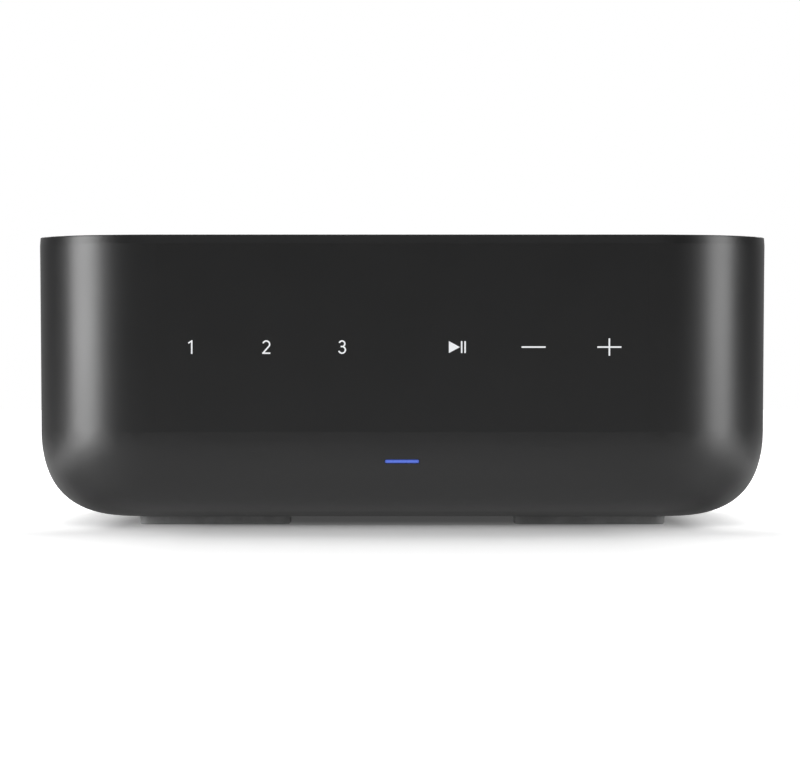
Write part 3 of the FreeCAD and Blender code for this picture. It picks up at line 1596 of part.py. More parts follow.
def post_caps():
    """A clamping washer and a fluted cap for each post."""
    for name, x, z in post_places():
        bore = s.stud_radius + s.thread_gap
        washer = [
            (bore, ZERO),
            (s.washer_radius, ZERO),
            (s.washer_radius, s.washer_thickness),
            (bore, s.washer_thickness),
        ]
        sub_part("clamp_washer_" + name, turned("washer_" + name, washer, x, flange_out, z))
        thread_end = s.cap_length - s.cap_end_wall
        cap = [
            (bore, ZERO),
            (s.cap_radius, ZERO),
            (s.cap_radius, s.cap_length - s.cap_chamfer),
            (s.cap_radius - s.cap_chamfer, s.cap_length),
            (s.cap_mouth_radius, s.cap_length),
            (s.cap_mouth_radius, thread_end),
            (bore, thread_end),
        ]
        body = turned("cap_" + name, cap, x, cap_start, z)
        flute = draw(body, "XZ", [], [(s.cap_radius + s.flute_offset, 0, s.flute_radius)])
        doc.recompute()
        plain_volume = body.Tip.Shape.Volume
        groove = body.newObject("PartDesign::Pocket", body.Name + "_flute")
        groove.Profile = flute
        bind(groove, "Length", s.cap_length - s.flute_margin)
        doc.recompute()
        if groove.Shape.Volume > plain_volume - EDGE_SLACK:
            groove.Reversed = True
        ring = body.newObject("PartDesign::PolarPattern", body.Name + "_flutes")
        ring.Originals = [groove]
        upright = [o for o in body.Origin.OriginFeatures if o.Role == "Y_Axis"][0]
        ring.Axis = (upright, [""])
        ring.Angle = FULL_TURN
        ring.Occurrences = int(round(s.flute_count.value))
        body.Tip = ring
        sub_part("post_cap_" + name, body)


def jacks():
    """The three phono jacks with their coloured rings."""
    barrels, bodies, rings = [], [], []
    for name, x, z in jack_places():
        inner = s.jack_radius - s.jack_wall
        barrel = [
            (inner, -s.panel_thickness),
            (s.jack_neck_radius, -s.panel_thickness),
            (s.jack_neck_radius, s.jack_flange),
            (s.jack_radius, s.jack_flange),
            (s.jack_radius, s.jack_reach),
            (inner, s.jack_reach),
        ]
        barrels.append(turned("barrel_" + name, barrel, x, panel_out, z))
        core_radius = inner - s.thread_gap / 2
        core = [
            (ZERO, -s.jack_core_root),
            (core_radius, -s.jack_core_root),
            (core_radius, s.jack_reach - s.jack_core_set_in),
            (s.jack_bore_radius, s.jack_reach - s.jack_core_set_in),
            (s.jack_bore_radius, -s.jack_contact_depth),
            (ZERO, -s.jack_contact_depth),
        ]
        centre = turned("core_" + name, core, x, panel_out, z)
        half = s.jack_body / 2
        housing = block(
            "housing_" + name, x - half, x + half, socket_board_back, panel_in, z - half, z + half
        )
        bodies.append(join("jack_body_" + name, [housing, centre]))
        bore = s.jack_neck_radius + s.thread_gap
        ring = [
            (bore, ZERO),
            (s.jack_flange_radius, ZERO),
            (s.jack_flange_radius, s.jack_flange),
            (bore, s.jack_flange),
        ]
        rings.append(turned("ring_" + name, ring, x, panel_out, z))
    sub_part("jack_barrels", group("jack_barrels", barrels))
    sub_part("jack_bodies", group("jack_bodies", bodies))
    sub_part("jack_ring_red", rings[0])
    sub_part("jack_rings_white", group("jack_rings_white", rings[1:]))


def socket_shell(name, x, z, width, tall, y_out, mouths):
    """A housing from the socket board to its face, less its mouths."""
    half_width, half_tall = size(width) / 2, size(tall) / 2
    low, high = z - half_tall, z + half_tall
    base = block(name + "_block", x - half_width, x + half_width, socket_board_back, y_out, low, high)
    return cut(name, base, mouths)


def network_socket():
    """The network socket and its row of contacts."""
    face = panel_out + s.fit_gap
    x, z = s.net_x, net_height
    half, tall = s.net_mouth_width / 2, s.net_mouth_tall / 2
    deep = face - s.net_depth
    outside = face + s.overcut
    mouth = block("net_mouth", x - half, x + half, deep, outside, z - tall, z + tall)
    notch_half = s.net_notch_width / 2
    notch = block(
        "net_notch", x - notch_half, x + notch_half, deep, outside, z - tall - s.net_notch_tall, z
    )
    mouths = [join("net_cutter", [mouth, notch])]
    sub_part("network_socket", socket_shell("network_socket", x, z, s.net_width, s.net_tall, face, mouths))
    pins = []
    count = int(round(s.net_pin_count.value))
    half_pin = s.net_pin_width / 2
    roof = z + tall - s.net_pin_drop
    for number in range(count):
        pin_x = x + s.net_pin_pitch * (number - (count - 1) / 2)
        pins.append(
            block(
                "net_pin%d" % number,
                pin_x - half_pin,
                pin_x + half_pin,
                deep,
                face - s.net_pin_set_in,
                roof - s.net_pin_width,
                roof,
            )
        )
    sub_part("network_contacts", group("network_contacts", pins))


def service_socket():
    """The service socket and its tongue."""
    face = panel_out + s.fit_gap
    x, z = s.net_x, usb_height
    wall = s.usb_wall
    half, tall = s.usb_width / 2 - wall, s.usb_tall / 2 - wall
    mouth = block(
        "usb_mouth", x - half, x + half, socket_board_back + wall, face + s.overcut, z - tall, z + tall
    )
    sub_part(
        "service_socket", socket_shell("service_socket", x, z, s.usb_width, s.usb_tall, face, [mouth])
    )
    tongue = block(
        "usb_tongue_block",
        x - half + wall,
        x + half - wall,
        socket_board_back + wall,
        face - s.usb_tongue_set_in,
        z + tall - s.usb_tongue - wall,
        z + tall - wall,
    )
    sub_part("service_tongue", tongue)


def optical_socket():
    """The optical socket and the sprung flap in its mouth."""
    face = panel_out + s.fit_gap
    x, z = s.sub_x, optical_height
    half = s.optical_mouth / 2
    deep = face - s.optical_depth
    mouth = block("optical_mouth_block", x - half, x + half, deep, face + s.overcut, z - half, z + half)
    pin_y = face - s.shutter_set_in - s.shutter_thickness / 2
    pin_z = z + half - s.shutter_thickness / 2 - s.fit_gap
    pin_reach = half + s.shutter_pin_bite
    hole = rod(
        "shutter_pin_hole",
        s.shutter_pin_radius + s.thread_gap,
        (pin_reach + s.fit_gap) * 2,
        x - pin_reach - s.fit_gap,
        pin_y,
        pin_z,
        "X",
    )
    mouths = [join("optical_cutter", [mouth, hole])]
    wide, tall = s.optical_width, s.optical_tall
    sub_part("optical_socket", socket_shell("optical_socket", x, z, wide, tall, face, mouths))
    pin = rod("shutter_pin", s.shutter_pin_radius, pin_reach * 2, x - pin_reach, pin_y, pin_z, "X")
    half_flap = half - s.fit_gap
    flap = block(
        "shutter_leaf",
        x - half_flap,
        x + half_flap,
        pin_y - s.shutter_thickness / 2,
        pin_y + s.shutter_thickness / 2,
        z - half + s.fit_gap,
        pin_z,
    )
    knuckle = rod(
        "shutter_knuckle", s.shutter_thickness / 2, half_flap * 2, x - half_flap, pin_y, pin_z, "X"
    )
    sub_part("optical_shutter", join("optical_shutter", [flap, knuckle, pin]))


def setup_button():
    """The small button between the sockets and the switch behind it."""
    x, z = s.sub_x, socket_line
    flange_low = -s.panel_thickness - s.button_flange - s.fit_gap
    switch_face = socket_board_back + s.switch_depth - panel_out
    shoulder = switch_face + s.button_travel + s.fit_gap
    plunger_end = switch_face - s.button_plunger_length
    flange_radius = s.button_radius + s.button_flange_reach
    outline = [
        (ZERO, plunger_end),
        (s.button_plunger_radius, plunger_end),
        (s.button_plunger_radius, shoulder),
        (s.button_stem_radius, shoulder),
        (s.button_stem_radius, flange_low),
        (flange_radius, flange_low),
        (flange_radius, flange_low + s.button_flange),
        (s.button_radius, flange_low + s.button_flange),
        (s.button_radius, s.button_reach - s.button_chamfer),
        (s.button_radius - s.button_chamfer, s.button_reach),
        (ZERO, s.button_reach),
    ]
    sub_part("setup_button", turned("setup_button", outline, x, panel_out, z))
    half = s.switch_size / 2
    face = socket_board_back + s.switch_depth
    base = block("switch_block", x - half, x + half, socket_board_back, face, z - half, z + half)
    well_low = panel_out + plunger_end - s.button_travel - s.fit_gap
    well = rod("switch_well", s.button_plunger_radius + s.thread_gap, s.switch_depth, x, well_low, z, "Y")
    sub_part("setup_switch", cut("setup_switch", base, [well]))


def mains_inlet():
    """The figure-of-eight mains inlet and its two pins."""
    x, z = s.inlet_x, socket_line
    face = panel_out + s.inlet_flange_thickness
    back_end = panel_out - s.inlet_depth
    half, tall = s.inlet_width / 2, s.inlet_tall / 2
    box = block("inlet_block", x - half, x + half, back_end, face, z - tall, z + tall)
    lip = upright_plate(
        "inlet_lip",
        s.inlet_width + s.inlet_flange * 2,
        s.inlet_tall + s.inlet_flange * 2,
        s.inlet_flange_thickness,
        x,
        face,
        z,
        s.inlet_flange,
    )
    mouth_radius = s.inlet_mouth_tall / 2
    straight = s.inlet_mouth_width / 2 - mouth_radius
    deep = face - s.inlet_mouth_depth
    outside = face + s.overcut
    run = s.inlet_mouth_depth + s.overcut
    mouths = [
        block("inlet_mouth", x - straight, x + straight, deep, outside, z - mouth_radius, z + mouth_radius),
        rod("inlet_mouth_left", mouth_radius, run, x - straight, deep, z, "Y"),
        rod("inlet_mouth_right", mouth_radius, run, x + straight, deep, z, "Y"),
    ]
    housing = cut("mains_inlet", join("inlet_solid", [box, lip]), mouths)
    sub_part("mains_inlet", housing)
    pins = []
    for sign in (-1, 1):
        pin_x = x + s.inlet_pin_pitch / 2 * sign
        length = s.inlet_mouth_depth - s.inlet_pin_set_in
        pins.append(rod("inlet_pin%d" % (sign + 1), s.inlet_pin_radius, length, pin_x, deep, z, "Y"))
    sub_part("inlet_pins", group("inlet_pins", pins))


# Leads inside the case


def lead_path(points):
    """Straight runs joined by tangent arcs."""
    edges, here = [], points[0]
    for at in range(1, len(points) - 1):
        corner = points[at]
        before, after = corner - points[at - 1], points[at + 1] - corner
        turn_angle = before.getAngle(after)
        reach = BEND_SHARE * min(before.Length, after.Length)
        start = corner - before.normalize() * reach
        end = corner + after.normalize() * reach
        radius = reach / math.tan(turn_angle / 2)
        bend_radii.append(round(radius, 1))
        inwards = (start + end) * 0.5 - corner
        centre = corner + inwards.normalize() * (radius / math.cos(turn_angle / 2))
        middle_point = centre - (centre - corner).normalize() * radius
        edges.append(Part.LineSegment(here, start).toShape())
        edges.append(Part.Arc(start, middle_point, end).toShape())
        here = end
    edges.append(Part.LineSegment(here, points[-1]).toShape())
    return Part.Wire(edges)


def lead(points, radius):
    """A round wire along a path."""
    path = lead_path(points)
    start = path.Edges[0]
    direction = start.tangentAt(start.FirstParameter)
    ring = Part.Wire(Part.makeCircle(radius, points[0], direction))
    return path.makePipeShell([ring], True, False)


def leads():
    """The two wires from the mains inlet to the power board."""
    inlet_back = (panel_out - s.inlet_depth).value
    x_inlet, z_inlet = s.inlet_x.value, socket_line.value
    plug_top = (board_top + s.plug_height).value
    plug_middle = board_back_edge - s.plug_inset
    plug_y = plug_middle.value
    wires = []
    for sign in (-1, 1):
        x = x_inlet + s.inlet_pin_pitch.value / 2 * sign
        x_plug = x_inlet + s.plug_lead_spread.value * sign
        points = [
            FreeCAD.Vector(x, inlet_back, z_inlet),
            FreeCAD.Vector(x, inlet_back - s.lead_run.value, z_inlet),
            FreeCAD.Vector(x_plug, plug_y, z_inlet - s.lead_dip.value),
            FreeCAD.Vector(x_plug, plug_y, plug_top),
        ]
        wires.append(lead(points, s.lead_radius.value))
    sub_part("mains_leads", formed("mains_leads", Part.makeCompound(wires)))
    half = s.plug_depth / 2
    plug = block(
        "mains_plug",
        s.inlet_x - half - s.plug_margin,
        s.inlet_x + half + s.plug_margin,
        plug_middle - half,
        plug_middle + half,
        board_top,
        board_top + s.plug_height,
    )
    plugs.append(plug)


def link_strip():
    """The plug strip that carries the sound from the amplifier board to the socket board."""
    half = s.header_width / 2
    strip = block(
        "socket_link",
        s.amp_board_x - half,
        s.amp_board_x + half,
        board_back_edge - s.plug_depth,
        socket_board_front,
        board_top,
        board_top + s.header_height,
    )
    sub_part("socket_link", strip)


def ribbon():
    """The flat cable from the front board down to the amplifier board."""
    half = (s.ribbon_width / 2).value
    x_mid = s.amp_board_x.value
    thick = s.ribbon_thickness.value
    start_y = (front_board_back + s.plug_depth / 2).value
    start_z = (board_top + s.ribbon_plug_rise + s.plug_height).value
    end_y = (board_front_edge + s.plug_depth / 2).value
    end_z = (board_top + s.plug_height).value
    crest = start_z + (end_y - start_y) / 2
    points = [
        FreeCAD.Vector(x_mid, start_y, start_z),
        FreeCAD.Vector(x_mid, start_y, crest),
        FreeCAD.Vector(x_mid, end_y, crest),
        FreeCAD.Vector(x_mid, end_y, end_z),
    ]
    path = lead_path(points)
    corners = ((-half, 0), (half, 0), (half, thick), (-half, thick), (-half, 0))
    section = Part.makePolygon([points[0] + FreeCAD.Vector(x, y, 0) for x, y in corners])
    sheet_form = path.makePipeShell([section], True, False)
    sub_part("front_ribbon", formed("front_ribbon", sheet_form))
    reach = s.ribbon_width / 2 + s.plug_margin
    x_low, x_high = s.amp_board_x - reach, s.amp_board_x + reach
    low_plug = block(
        "ribbon_plug_low",
        x_low,
        x_high,
        board_front_edge,
        board_front_edge + s.plug_depth,
        board_top,
        board_top + s.plug_height,
    )
    high_plug = block(
        "ribbon_plug_high",
        x_low,
        x_high,
        front_board_back,
        front_board_back + s.plug_depth,
        board_top + s.ribbon_plug_rise,
        board_top + s.ribbon_plug_rise + s.plug_height,
    )
    plugs.extend([low_plug, high_plug])


def aerials():
    """A flat aerial on each side wall."""
    strips = []
    for sign in (-1, 1):
        near, far = inner_side - s.aerial_thickness, inner_side
        x_low, x_high = (near, far) if sign > 0 else (-far, -near)
        strips.append(
            block(
                "aerial%d" % (sign + 1),
                x_low,
                x_high,
                middle - s.aerial_y - s.aerial_length / 2,
                middle - s.aerial_y + s.aerial_length / 2,
                s.aerial_z - s.aerial_height / 2,
                s.aerial_z + s.aerial_height / 2,
            )
        )
    sub_part("aerial_strips", group("aerial_strips", strips))


outer_shell()
lid()
feet()
front_lights()
touch_board()
chassis()
main_board("power_board", -s.power_board_x, s.power_board_width)
main_board("amplifier_board", s.amp_board_x, s.amp_board_width)
amplifier_parts()
network_parts()
power_parts()
rear_panel()
speaker_posts()
post_caps()
jacks()
network_socket()
service_socket()
optical_socket()
setup_button()
mains_inlet()
leads()
link_strip()
ribbon()
aerials()
sub_part("board_screws", group("board_screws", fixings))
sub_part("board_standoffs", group("board_standoffs", standoffs))
sub_part("board_capacitors", group("board_capacitors", capacitors))
sub_part("board_plugs", group("board_plugs", plugs))
doc.recompute()

failed = [o.Name for o in doc.Objects if "Invalid" in o.State or "Error" in o.State]
if failed:
    raise RuntimeError("these objects failed: " + ", ".join(failed))
for item in parts:
    if item.Shape.isNull() or not item.Shape.isValid() or not item.Shape.Solids:
        raise RuntimeError("bad shape: " + item.Label)

os.makedirs("parts", exist_ok=True)
for item in parts:
    item.Shape.exportStep(os.path.join("parts", item.Label + ".step"))
print("%d sub-parts, %d solids" % (len(parts), sum(len(item.Shape.Solids) for item in parts)))
print("bend radii of the leads in mm:", bend_radii)
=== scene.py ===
"""A desktop streaming amplifier, dressed and lit around its packed model."""

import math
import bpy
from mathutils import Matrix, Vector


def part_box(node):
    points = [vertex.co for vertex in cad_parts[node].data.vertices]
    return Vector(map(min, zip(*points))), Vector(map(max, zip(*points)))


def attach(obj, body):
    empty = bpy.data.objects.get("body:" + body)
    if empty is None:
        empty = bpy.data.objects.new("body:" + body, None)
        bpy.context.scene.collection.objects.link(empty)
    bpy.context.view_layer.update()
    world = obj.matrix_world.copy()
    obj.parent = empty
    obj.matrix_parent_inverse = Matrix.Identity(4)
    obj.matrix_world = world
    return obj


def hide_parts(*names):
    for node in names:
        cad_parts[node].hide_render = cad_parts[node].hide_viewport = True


bl_info = {
    "name": "Streaming amplifier",
    "version": (1, 0, 0),
    "blender": (4, 5, 0),
    "location": "View3D > Sidebar > Amplifier",
    "description": "Dresses the packed model of a streaming amplifier and sets up its studio",
    "category": "Object",
}

from functools import reduce

import bpy
from bpy.props import FloatProperty, FloatVectorProperty, IntProperty, PointerProperty
from mathutils import Vector

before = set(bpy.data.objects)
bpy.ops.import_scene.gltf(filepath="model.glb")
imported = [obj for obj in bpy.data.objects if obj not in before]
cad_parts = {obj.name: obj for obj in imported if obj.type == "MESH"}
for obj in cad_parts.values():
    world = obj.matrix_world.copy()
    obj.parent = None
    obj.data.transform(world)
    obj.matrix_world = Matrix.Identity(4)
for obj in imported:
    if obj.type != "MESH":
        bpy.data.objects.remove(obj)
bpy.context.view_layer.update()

MM = 0.001
UP, DOWN = (0, 0, 1), (0, 0, -1)
LEFT, RIGHT = (-1, 0, 0), (1, 0, 0)
CHANNELS = ("left", "right")
POLES = ("negative", "positive")

# Least cosine between a face's normal and the way that it faces
FACING = 0.99
# Ends closer than this are one, and edges flatter than this angle are shaded smooth
MERGE = 0.001 * MM
SMOOTH = math.radians(35)

# Sockets of the colour mix node, which has others of the same names for plain numbers
MIX_FACTOR, MIX_FIRST, MIX_SECOND, MIX_RESULT = 0, 6, 7, 2
# The wave texture's bands are this far apart at a scale of 1
WAVE_PITCH = 0.31416
BLACK = (0, 0, 0, 1)
WHITE = (1, 1, 1, 1)

# Where the packed model has the rear panel, the feet and the light bar
PANEL_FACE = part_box("rear_panel")[1].y
FOOT_LOW, FOOT_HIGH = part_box("rubber_feet")
BAR_LOW, BAR_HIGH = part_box("status_light_pipe")

GREEN_BOARDS = ("front_board", "amplifier_board", "socket_board")

# The pieces on either side of each printed line
DIVIDED = (
    ("negative_collars", "jack_ring_red"),
    ("optical_socket", "network_socket"),
    ("network_socket", "mains_inlet"),
)

# Each lamp's azimuth and elevation in degrees from the front, its distance, width and height in
# metres, and the setting that holds its power
LAMPS = (
    ("left_lamp", -71, 9, 0.9, 0.42, 0.28, "left_light"),
    ("right_lamp", 71, 9, 0.9, 0.36, 0.28, "right_light"),
    ("back_lamp", 180, 37, 1.3, 1.8, 0.84, "back_light"),
    ("top_lamp", 180, 78, 1.3, 1.8, 1.0, "top_light"),
    ("front_lamp", 0, 25, 1.4, 1.2, 0.4, "front_light"),
)

# From the origin to the floor's back and side edges, in metres
FLOOR_REACH = 6
# Where each of the floor's ramps begins and ends, in metres: across from the middle, along Y, or
# away from the origin. BESIDE and WIDE are painted light for the camera, the shade along Y is
# painted shade and GLOSS and POOL are painted reflections and painted pools of lamp light, all for
# glossy surfaces, and EDGE is painted light for all but those
BESIDE_ACROSS = (0.0815, 0.0915)
BESIDE_ALONG = (-0.17, -0.11)
WIDE_ACROSS = (0.055, 0.115)
EDGE_ALONG = (-0.1, -0.05)
EDGE_AWAY = (0.11, 0.2)
PAINTED_SHADE_ALONG = (-0.12, -0.02)
GLOSS_ALONG = (-0.11, -0.091)
GLOSS_ACROSS = (0.11, 0.15)
GLOSS_AWAY = (0.13, 0.2)
GLOSS_END = (0.3, 0.6)
POOL_AWAY = (0.15, 0.3)
# Shares of the painted reflection's white under the object and beside it, and its level further off
GLOSS_UNDER, GLOSS_BESIDE, GLOSS_OFF = 0.2, 0.8, 0.3
# The painted pools of the side lamps' light, seen only in gloss, by their directions from the
# origin:
# how far forward they point, how far off that they fade, and where the left one turns into the
# right one
POOL_FORWARD = 0.42
POOL_FADE = (0.08, 0.32)
POOL_SIDES = (-0.1, 0.1)
# How far a direction points back where the surroundings begin to turn white, and are white
BACKDROP_RISE = (0.45, 1.0)


def colour(name, description, default):
    """A colour that a user can set."""
    return FloatVectorProperty(
        name=name, description=description, subtype="COLOR", size=3, min=0, max=1, default=default
    )


def length(name, description, default):
    """A length that a user can set."""
    return FloatProperty(name=name, description=description, unit="LENGTH", min=0, default=default)


def share(name, description, default):
    """A number from 0 to 1 that a user can set."""
    return FloatProperty(
        name=name, description=description, subtype="FACTOR", min=0, max=1, default=default
    )


def amount(name, description, default):
    """A strength that a user can set."""
    return FloatProperty(name=name, description=description, min=0, default=default)


def watts(name, description, default):
    """A lamp's power that a user can set."""
    return FloatProperty(name=name, description=description, unit="POWER", min=0, default=default)


def camera_size(name, description, default):
    """A size inside the camera, in millimetres, that a user can set."""
    return FloatProperty(name=name, description=description, unit="CAMERA", min=1, default=default)


def turned_by(name, description, default):
    """An angle that a user can set."""
    return FloatProperty(name=name, description=description, subtype="ANGLE", default=default)


class CaseSettings(bpy.types.PropertyGroup):
    """The moulded shell and its lid."""

    shell: colour("Shell", "Colour of the moulded shell", (0.0092, 0.0092, 0.0095))
    lid: colour("Lid", "Colour of the lid", (0.0115, 0.0115, 0.0125))
    roughness: share("Roughness", "Roughness of the shell's satin finish", 0.34)
    lid_roughness: share("Lid roughness", "Roughness of the lid's duller finish", 0.46)
    lid_sheen: share("Lid reflection", "How much the lid reflects, 0.5 being plain plastic", 0.3)
    grain: length("Grain", "Spacing of the moulded grain", 0.45 * MM)
    relief: length("Relief", "Depth of the moulded grain", 0.004 * MM)


class LightSettings(bpy.types.PropertyGroup):
    """The lit legends and the light bar."""

    legend: colour("Legends", "Light of the legends", (0.86, 0.88, 0.9))
    legend_glow: amount("Legend glow", "Strength of the legends' light", 0.78)
    bar_core: colour("Bar, core", "Light in the middle of the bar", (0.075, 0.14, 0.6))
    bar_edge: colour("Bar, edge", "Light along the bar's edges", (0.02, 0.04, 0.22))
    bar_glow: amount("Bar glow", "Strength of the bar's light", 1.0)
    inlay: colour("Inlay", "Plastic of the legends", (0.3, 0.3, 0.3))
    bar: colour("Bar", "Plastic of the light bar", (0.03, 0.05, 0.2))
    lens: colour("Lamps", "Clear lenses of the lamps behind the bar", (0.8, 0.85, 0.9))
    guide: colour("Light guide", "Light guide behind the legends", (0.82, 0.85, 0.87))
    film: colour("Touch film", "Film that senses a touch", (0.45, 0.24, 0.05))


class FootSettings(bpy.types.PropertyGroup):
    """The rubber feet."""

    # Lighter than the rubber's own grey: partly painted light, standing in for light the floor
    # bounces onto the feet
    rubber: colour("Rubber", "Colour of the feet", (0.5, 0.5, 0.5))
    corner: length("Corner", "Round corners of a foot, seen from below", 3.0 * MM)
    edge: length("Edge", "Rounding of a foot's lower edge", 0.7 * MM)
    rim: length("Rim", "Plain rim round the tread", 1.4 * MM)
    tread: length("Tread", "Depth of the grooves in the tread", 0.4 * MM)
    grooves: IntProperty(name="Grooves", description="Grooves across a foot", min=1, default=9)


class PostSettings(bpy.types.PropertyGroup):
    """The speaker posts and the phono jacks."""

    gold: colour("Gold", "Plating of the studs, washers and jacks", (0.83, 0.59, 0.25))
    red: colour("Red", "Caps and rings of the right and positive terminals", (0.42, 0.008, 0.01))
    black: colour("Black", "Caps and collars of the negative terminals", (0.014, 0.014, 0.015))
    white: colour("White", "Rings of the left and subwoofer jacks", (0.78, 0.78, 0.76))


class MarkSettings(bpy.types.PropertyGroup):
    """The marks printed on the rear panel."""

    ink: colour("Ink", "Colour of the printed marks", (0.62, 0.62, 0.6))
    sign: length("Sign", "Width of the plus and minus signs", 2.8 * MM)
    stroke: length("Stroke", "Stroke of the signs", 0.55 * MM)
    line: length("Line", "Stroke of the lines between the groups of sockets", 0.32 * MM)
    pointer: length("Pointer", "Radius of the triangles between the paired jacks", 1.1 * MM)
    relief: length("Relief", "Thickness of the print", 0.08 * MM)


class SocketSettings(bpy.types.PropertyGroup):
    """The rear panel, its data sockets and the mains inlet."""

    panel: colour("Panel", "Powder coat of the rear panel", (0.016, 0.016, 0.018))
    housing: colour("Housing", "Moulded housings of the sockets", (0.012, 0.012, 0.012))
    tin: colour("Tin", "Tinned and nickel plated metal", (0.66, 0.65, 0.62))
    link_lamp: colour("Link lamp", "Lamp for the network link", (0.03, 0.5, 0.08))
    data_lamp: colour("Data lamp", "Lamp for network data", (0.75, 0.3, 0.02))
    lamp_size: length("Lamp", "Side of a lamp in the network socket", 1.3 * MM)
    lamp_inset: length("Lamp inset", "From a lamp to the network socket's edges", 0.6 * MM)
    lamp_proud: length("Lamp height", "How far a lamp stands out", 0.15 * MM)
    lamp_glow: amount("Lamp glow", "Strength of the lamps' light", 0.25)
    lead: colour("Wires", "Wires from the mains inlet", (0.02, 0.06, 0.3))
    black_screw: colour("Panel screws", "Black zinc of the panel's screws", (0.09, 0.09, 0.095))
    screw: colour("Screws", "Zinc of the screws inside", (0.6, 0.6, 0.57))


class InsideSettings(bpy.types.PropertyGroup):
    """The boards and parts inside the case."""

    board: colour("Boards", "Solder mask of the boards", (0.012, 0.1, 0.045))
    tan_board: colour("Power board", "Bare laminate of the power board", (0.42, 0.27, 0.11))
    steel: colour("Steel", "Galvanised chassis plate", (0.52, 0.53, 0.55))
    copper: colour("Copper", "Tracks under the solder mask", (0.04, 0.24, 0.1))
    white: colour("Plugs", "Nylon plugs and plug strips", (0.74, 0.72, 0.66))


class StageSettings(bpy.types.PropertyGroup):
    """The floor, the light and the camera."""

    floor: colour("Floor", "Colour of the floor", (0.8, 0.8, 0.8))
    floor_lift: amount("Floor lift", "White that the camera sees added to the far floor", 0.75)
    floor_base: amount("Floor base", "White that the camera sees added under the object", 0.06)
    floor_start: length("Floor start", "Distance at which the far floor's white begins", 0.17)
    floor_whole: length("Floor whole", "Distance at which the far floor's white is whole", 0.8)
    # Painted light that lightens the object's shadow beside the feet and further to the sides
    painted_light_beside: amount("Floor beside", "White that the camera sees added beside the feet", 0.33)
    painted_light_aside: amount("Floor aside", "White that the camera sees added further to the sides", 0.27)
    # Painted light that lightens the shadow under the front edge
    painted_light_front_edge: amount("Floor, front edge", "White under the front edge, but not in gloss", 0.075)
    # Painted reflection, seen only by glossy surfaces
    painted_gloss_white: amount("Floor in gloss", "White that glossy surfaces see round the object", 0.66)
    # Painted shade, seen only by glossy surfaces
    painted_shade_behind: share("Floor behind", "How much darker it is behind the front, in gloss", 0.7)
    # Painted pools of the side lamps' light, seen only by glossy surfaces
    painted_pool_left: amount("Floor, left lamp", "Left lamp's light on the floor, in gloss", 4.5)
    painted_pool_right: amount("Floor, right lamp", "Right lamp's light on the floor, in gloss", 2.6)
    floor_front: length("Floor in front", "Front edge of the floor, from the origin", 1.1)
    backdrop: amount("Backdrop", "Light of the white surroundings behind the object", 0.4)
    front_room: amount("Front", "Light of the darker room in front of the object", 0.035)
    left_light: watts("Left lamp", "Power of the lamp on the left", 3.9)
    right_light: watts("Right lamp", "Power of the lamp on the right", 2.45)
    back_light: watts("Back lamp", "Power of the wide lamp behind the object", 19)
    top_light: watts("Top lamp", "Power of the wide lamp over the object", 9)
    front_light: watts("Front lamp", "Power of the wide lamp above the camera", 2.2)
    camera_place: FloatVectorProperty(
        name="Camera", description="Place of the camera", subtype="XYZ", unit="LENGTH",
        default=(0.00267, -1.5468, 0.04178),
    )
    camera_turn: turned_by("Turn", "Camera turned to the left", math.radians(0.13))
    lens: camera_size("Lens", "Focal length of the camera", 223.5)
    sensor: camera_size("Sensor", "Width of the camera's sensor", 36.0)


# Selecting and shaping, as by hand


def clear_selection():
    """Leaves nothing selected in object mode."""
    if bpy.context.object and bpy.context.object.mode != "OBJECT":
        bpy.ops.object.mode_set(mode="OBJECT")
    bpy.ops.object.select_all(action="DESELECT")


def settle(piece, name):
    """Names a new piece and moves its place, turn and size into its mesh."""
    piece.name = name
    piece.data.name = name
    clear_selection()
    piece.select_set(True)
    bpy.context.view_layer.objects.active = piece
    bpy.ops.object.transform_apply(location=True, rotation=True, scale=True)
    return piece


def new_block(name, low, high):
    """A block between two corners, as a start for shaping."""
    clear_selection()
    low, high = Vector(low), Vector(high)
    bpy.ops.mesh.primitive_cube_add(size=1, location=(low + high) / 2, scale=high - low)
    return settle(bpy.context.object, name)


def select_parts(piece, kind, wanted):
    """Selects the faces or edges of a piece that a test picks, and stays in edit mode."""
    if bpy.context.object != piece:
        clear_selection()
        piece.select_set(True)
        bpy.context.view_layer.objects.active = piece
    bpy.ops.object.mode_set(mode="EDIT")
    bpy.ops.mesh.select_mode(type=kind)
    bpy.ops.mesh.select_all(action="DESELECT")
    bpy.ops.object.mode_set(mode="OBJECT")
    for part in piece.data.polygons if kind == "FACE" else piece.data.edges:
        part.select = wanted(part)
    bpy.ops.object.mode_set(mode="EDIT")


def select_faces(piece, wanted):
    """Selects faces by their place or normal."""
    select_parts(piece, "FACE", wanted)


def select_edges(piece, wanted):
    """Selects edges by the places of their two ends."""

    def by_ends(edge):
        return wanted(*[piece.data.vertices[end].co for end in edge.vertices])

    select_parts(piece, "EDGE", by_ends)


def faces_way(face, way):
    """Whether a face's normal points one way."""
    return face.normal.dot(Vector(way)) > FACING


def extrude(offset):
    """Grows the selected faces by an offset."""
    bpy.ops.mesh.extrude_region_move(TRANSFORM_OT_translate={"value": tuple(offset)})


def finish_mesh(piece):
    """Leaves edit mode with sound normals and smooth rounds."""
    bpy.ops.object.mode_set(mode="EDIT")
    bpy.ops.mesh.select_all(action="SELECT")
    bpy.ops.mesh.remove_doubles(threshold=MERGE)
    bpy.ops.mesh.normals_make_consistent(inside=False)
    bpy.ops.object.mode_set(mode="OBJECT")
    bpy.ops.object.shade_smooth_by_angle(angle=SMOOTH)


def put_on(piece, body, finish):
    """Gives a new piece its body and its material."""
    piece.data.materials.clear()
    piece.data.materials.append(finish)
    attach(piece, body)


def paint(finish, *nodes):
    """Gives packed pieces a material."""
    for node in nodes:
        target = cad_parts[node]
        if not target.material_slots:
            target.data.materials.append(finish)
        for place in target.material_slots:
            place.material = finish


# Procedural materials


def shaded(tone, level=1.0):
    """A colour made darker or lighter, and opaque."""
    return (*[min(part * level, 1.0) for part in tone], 1.0)


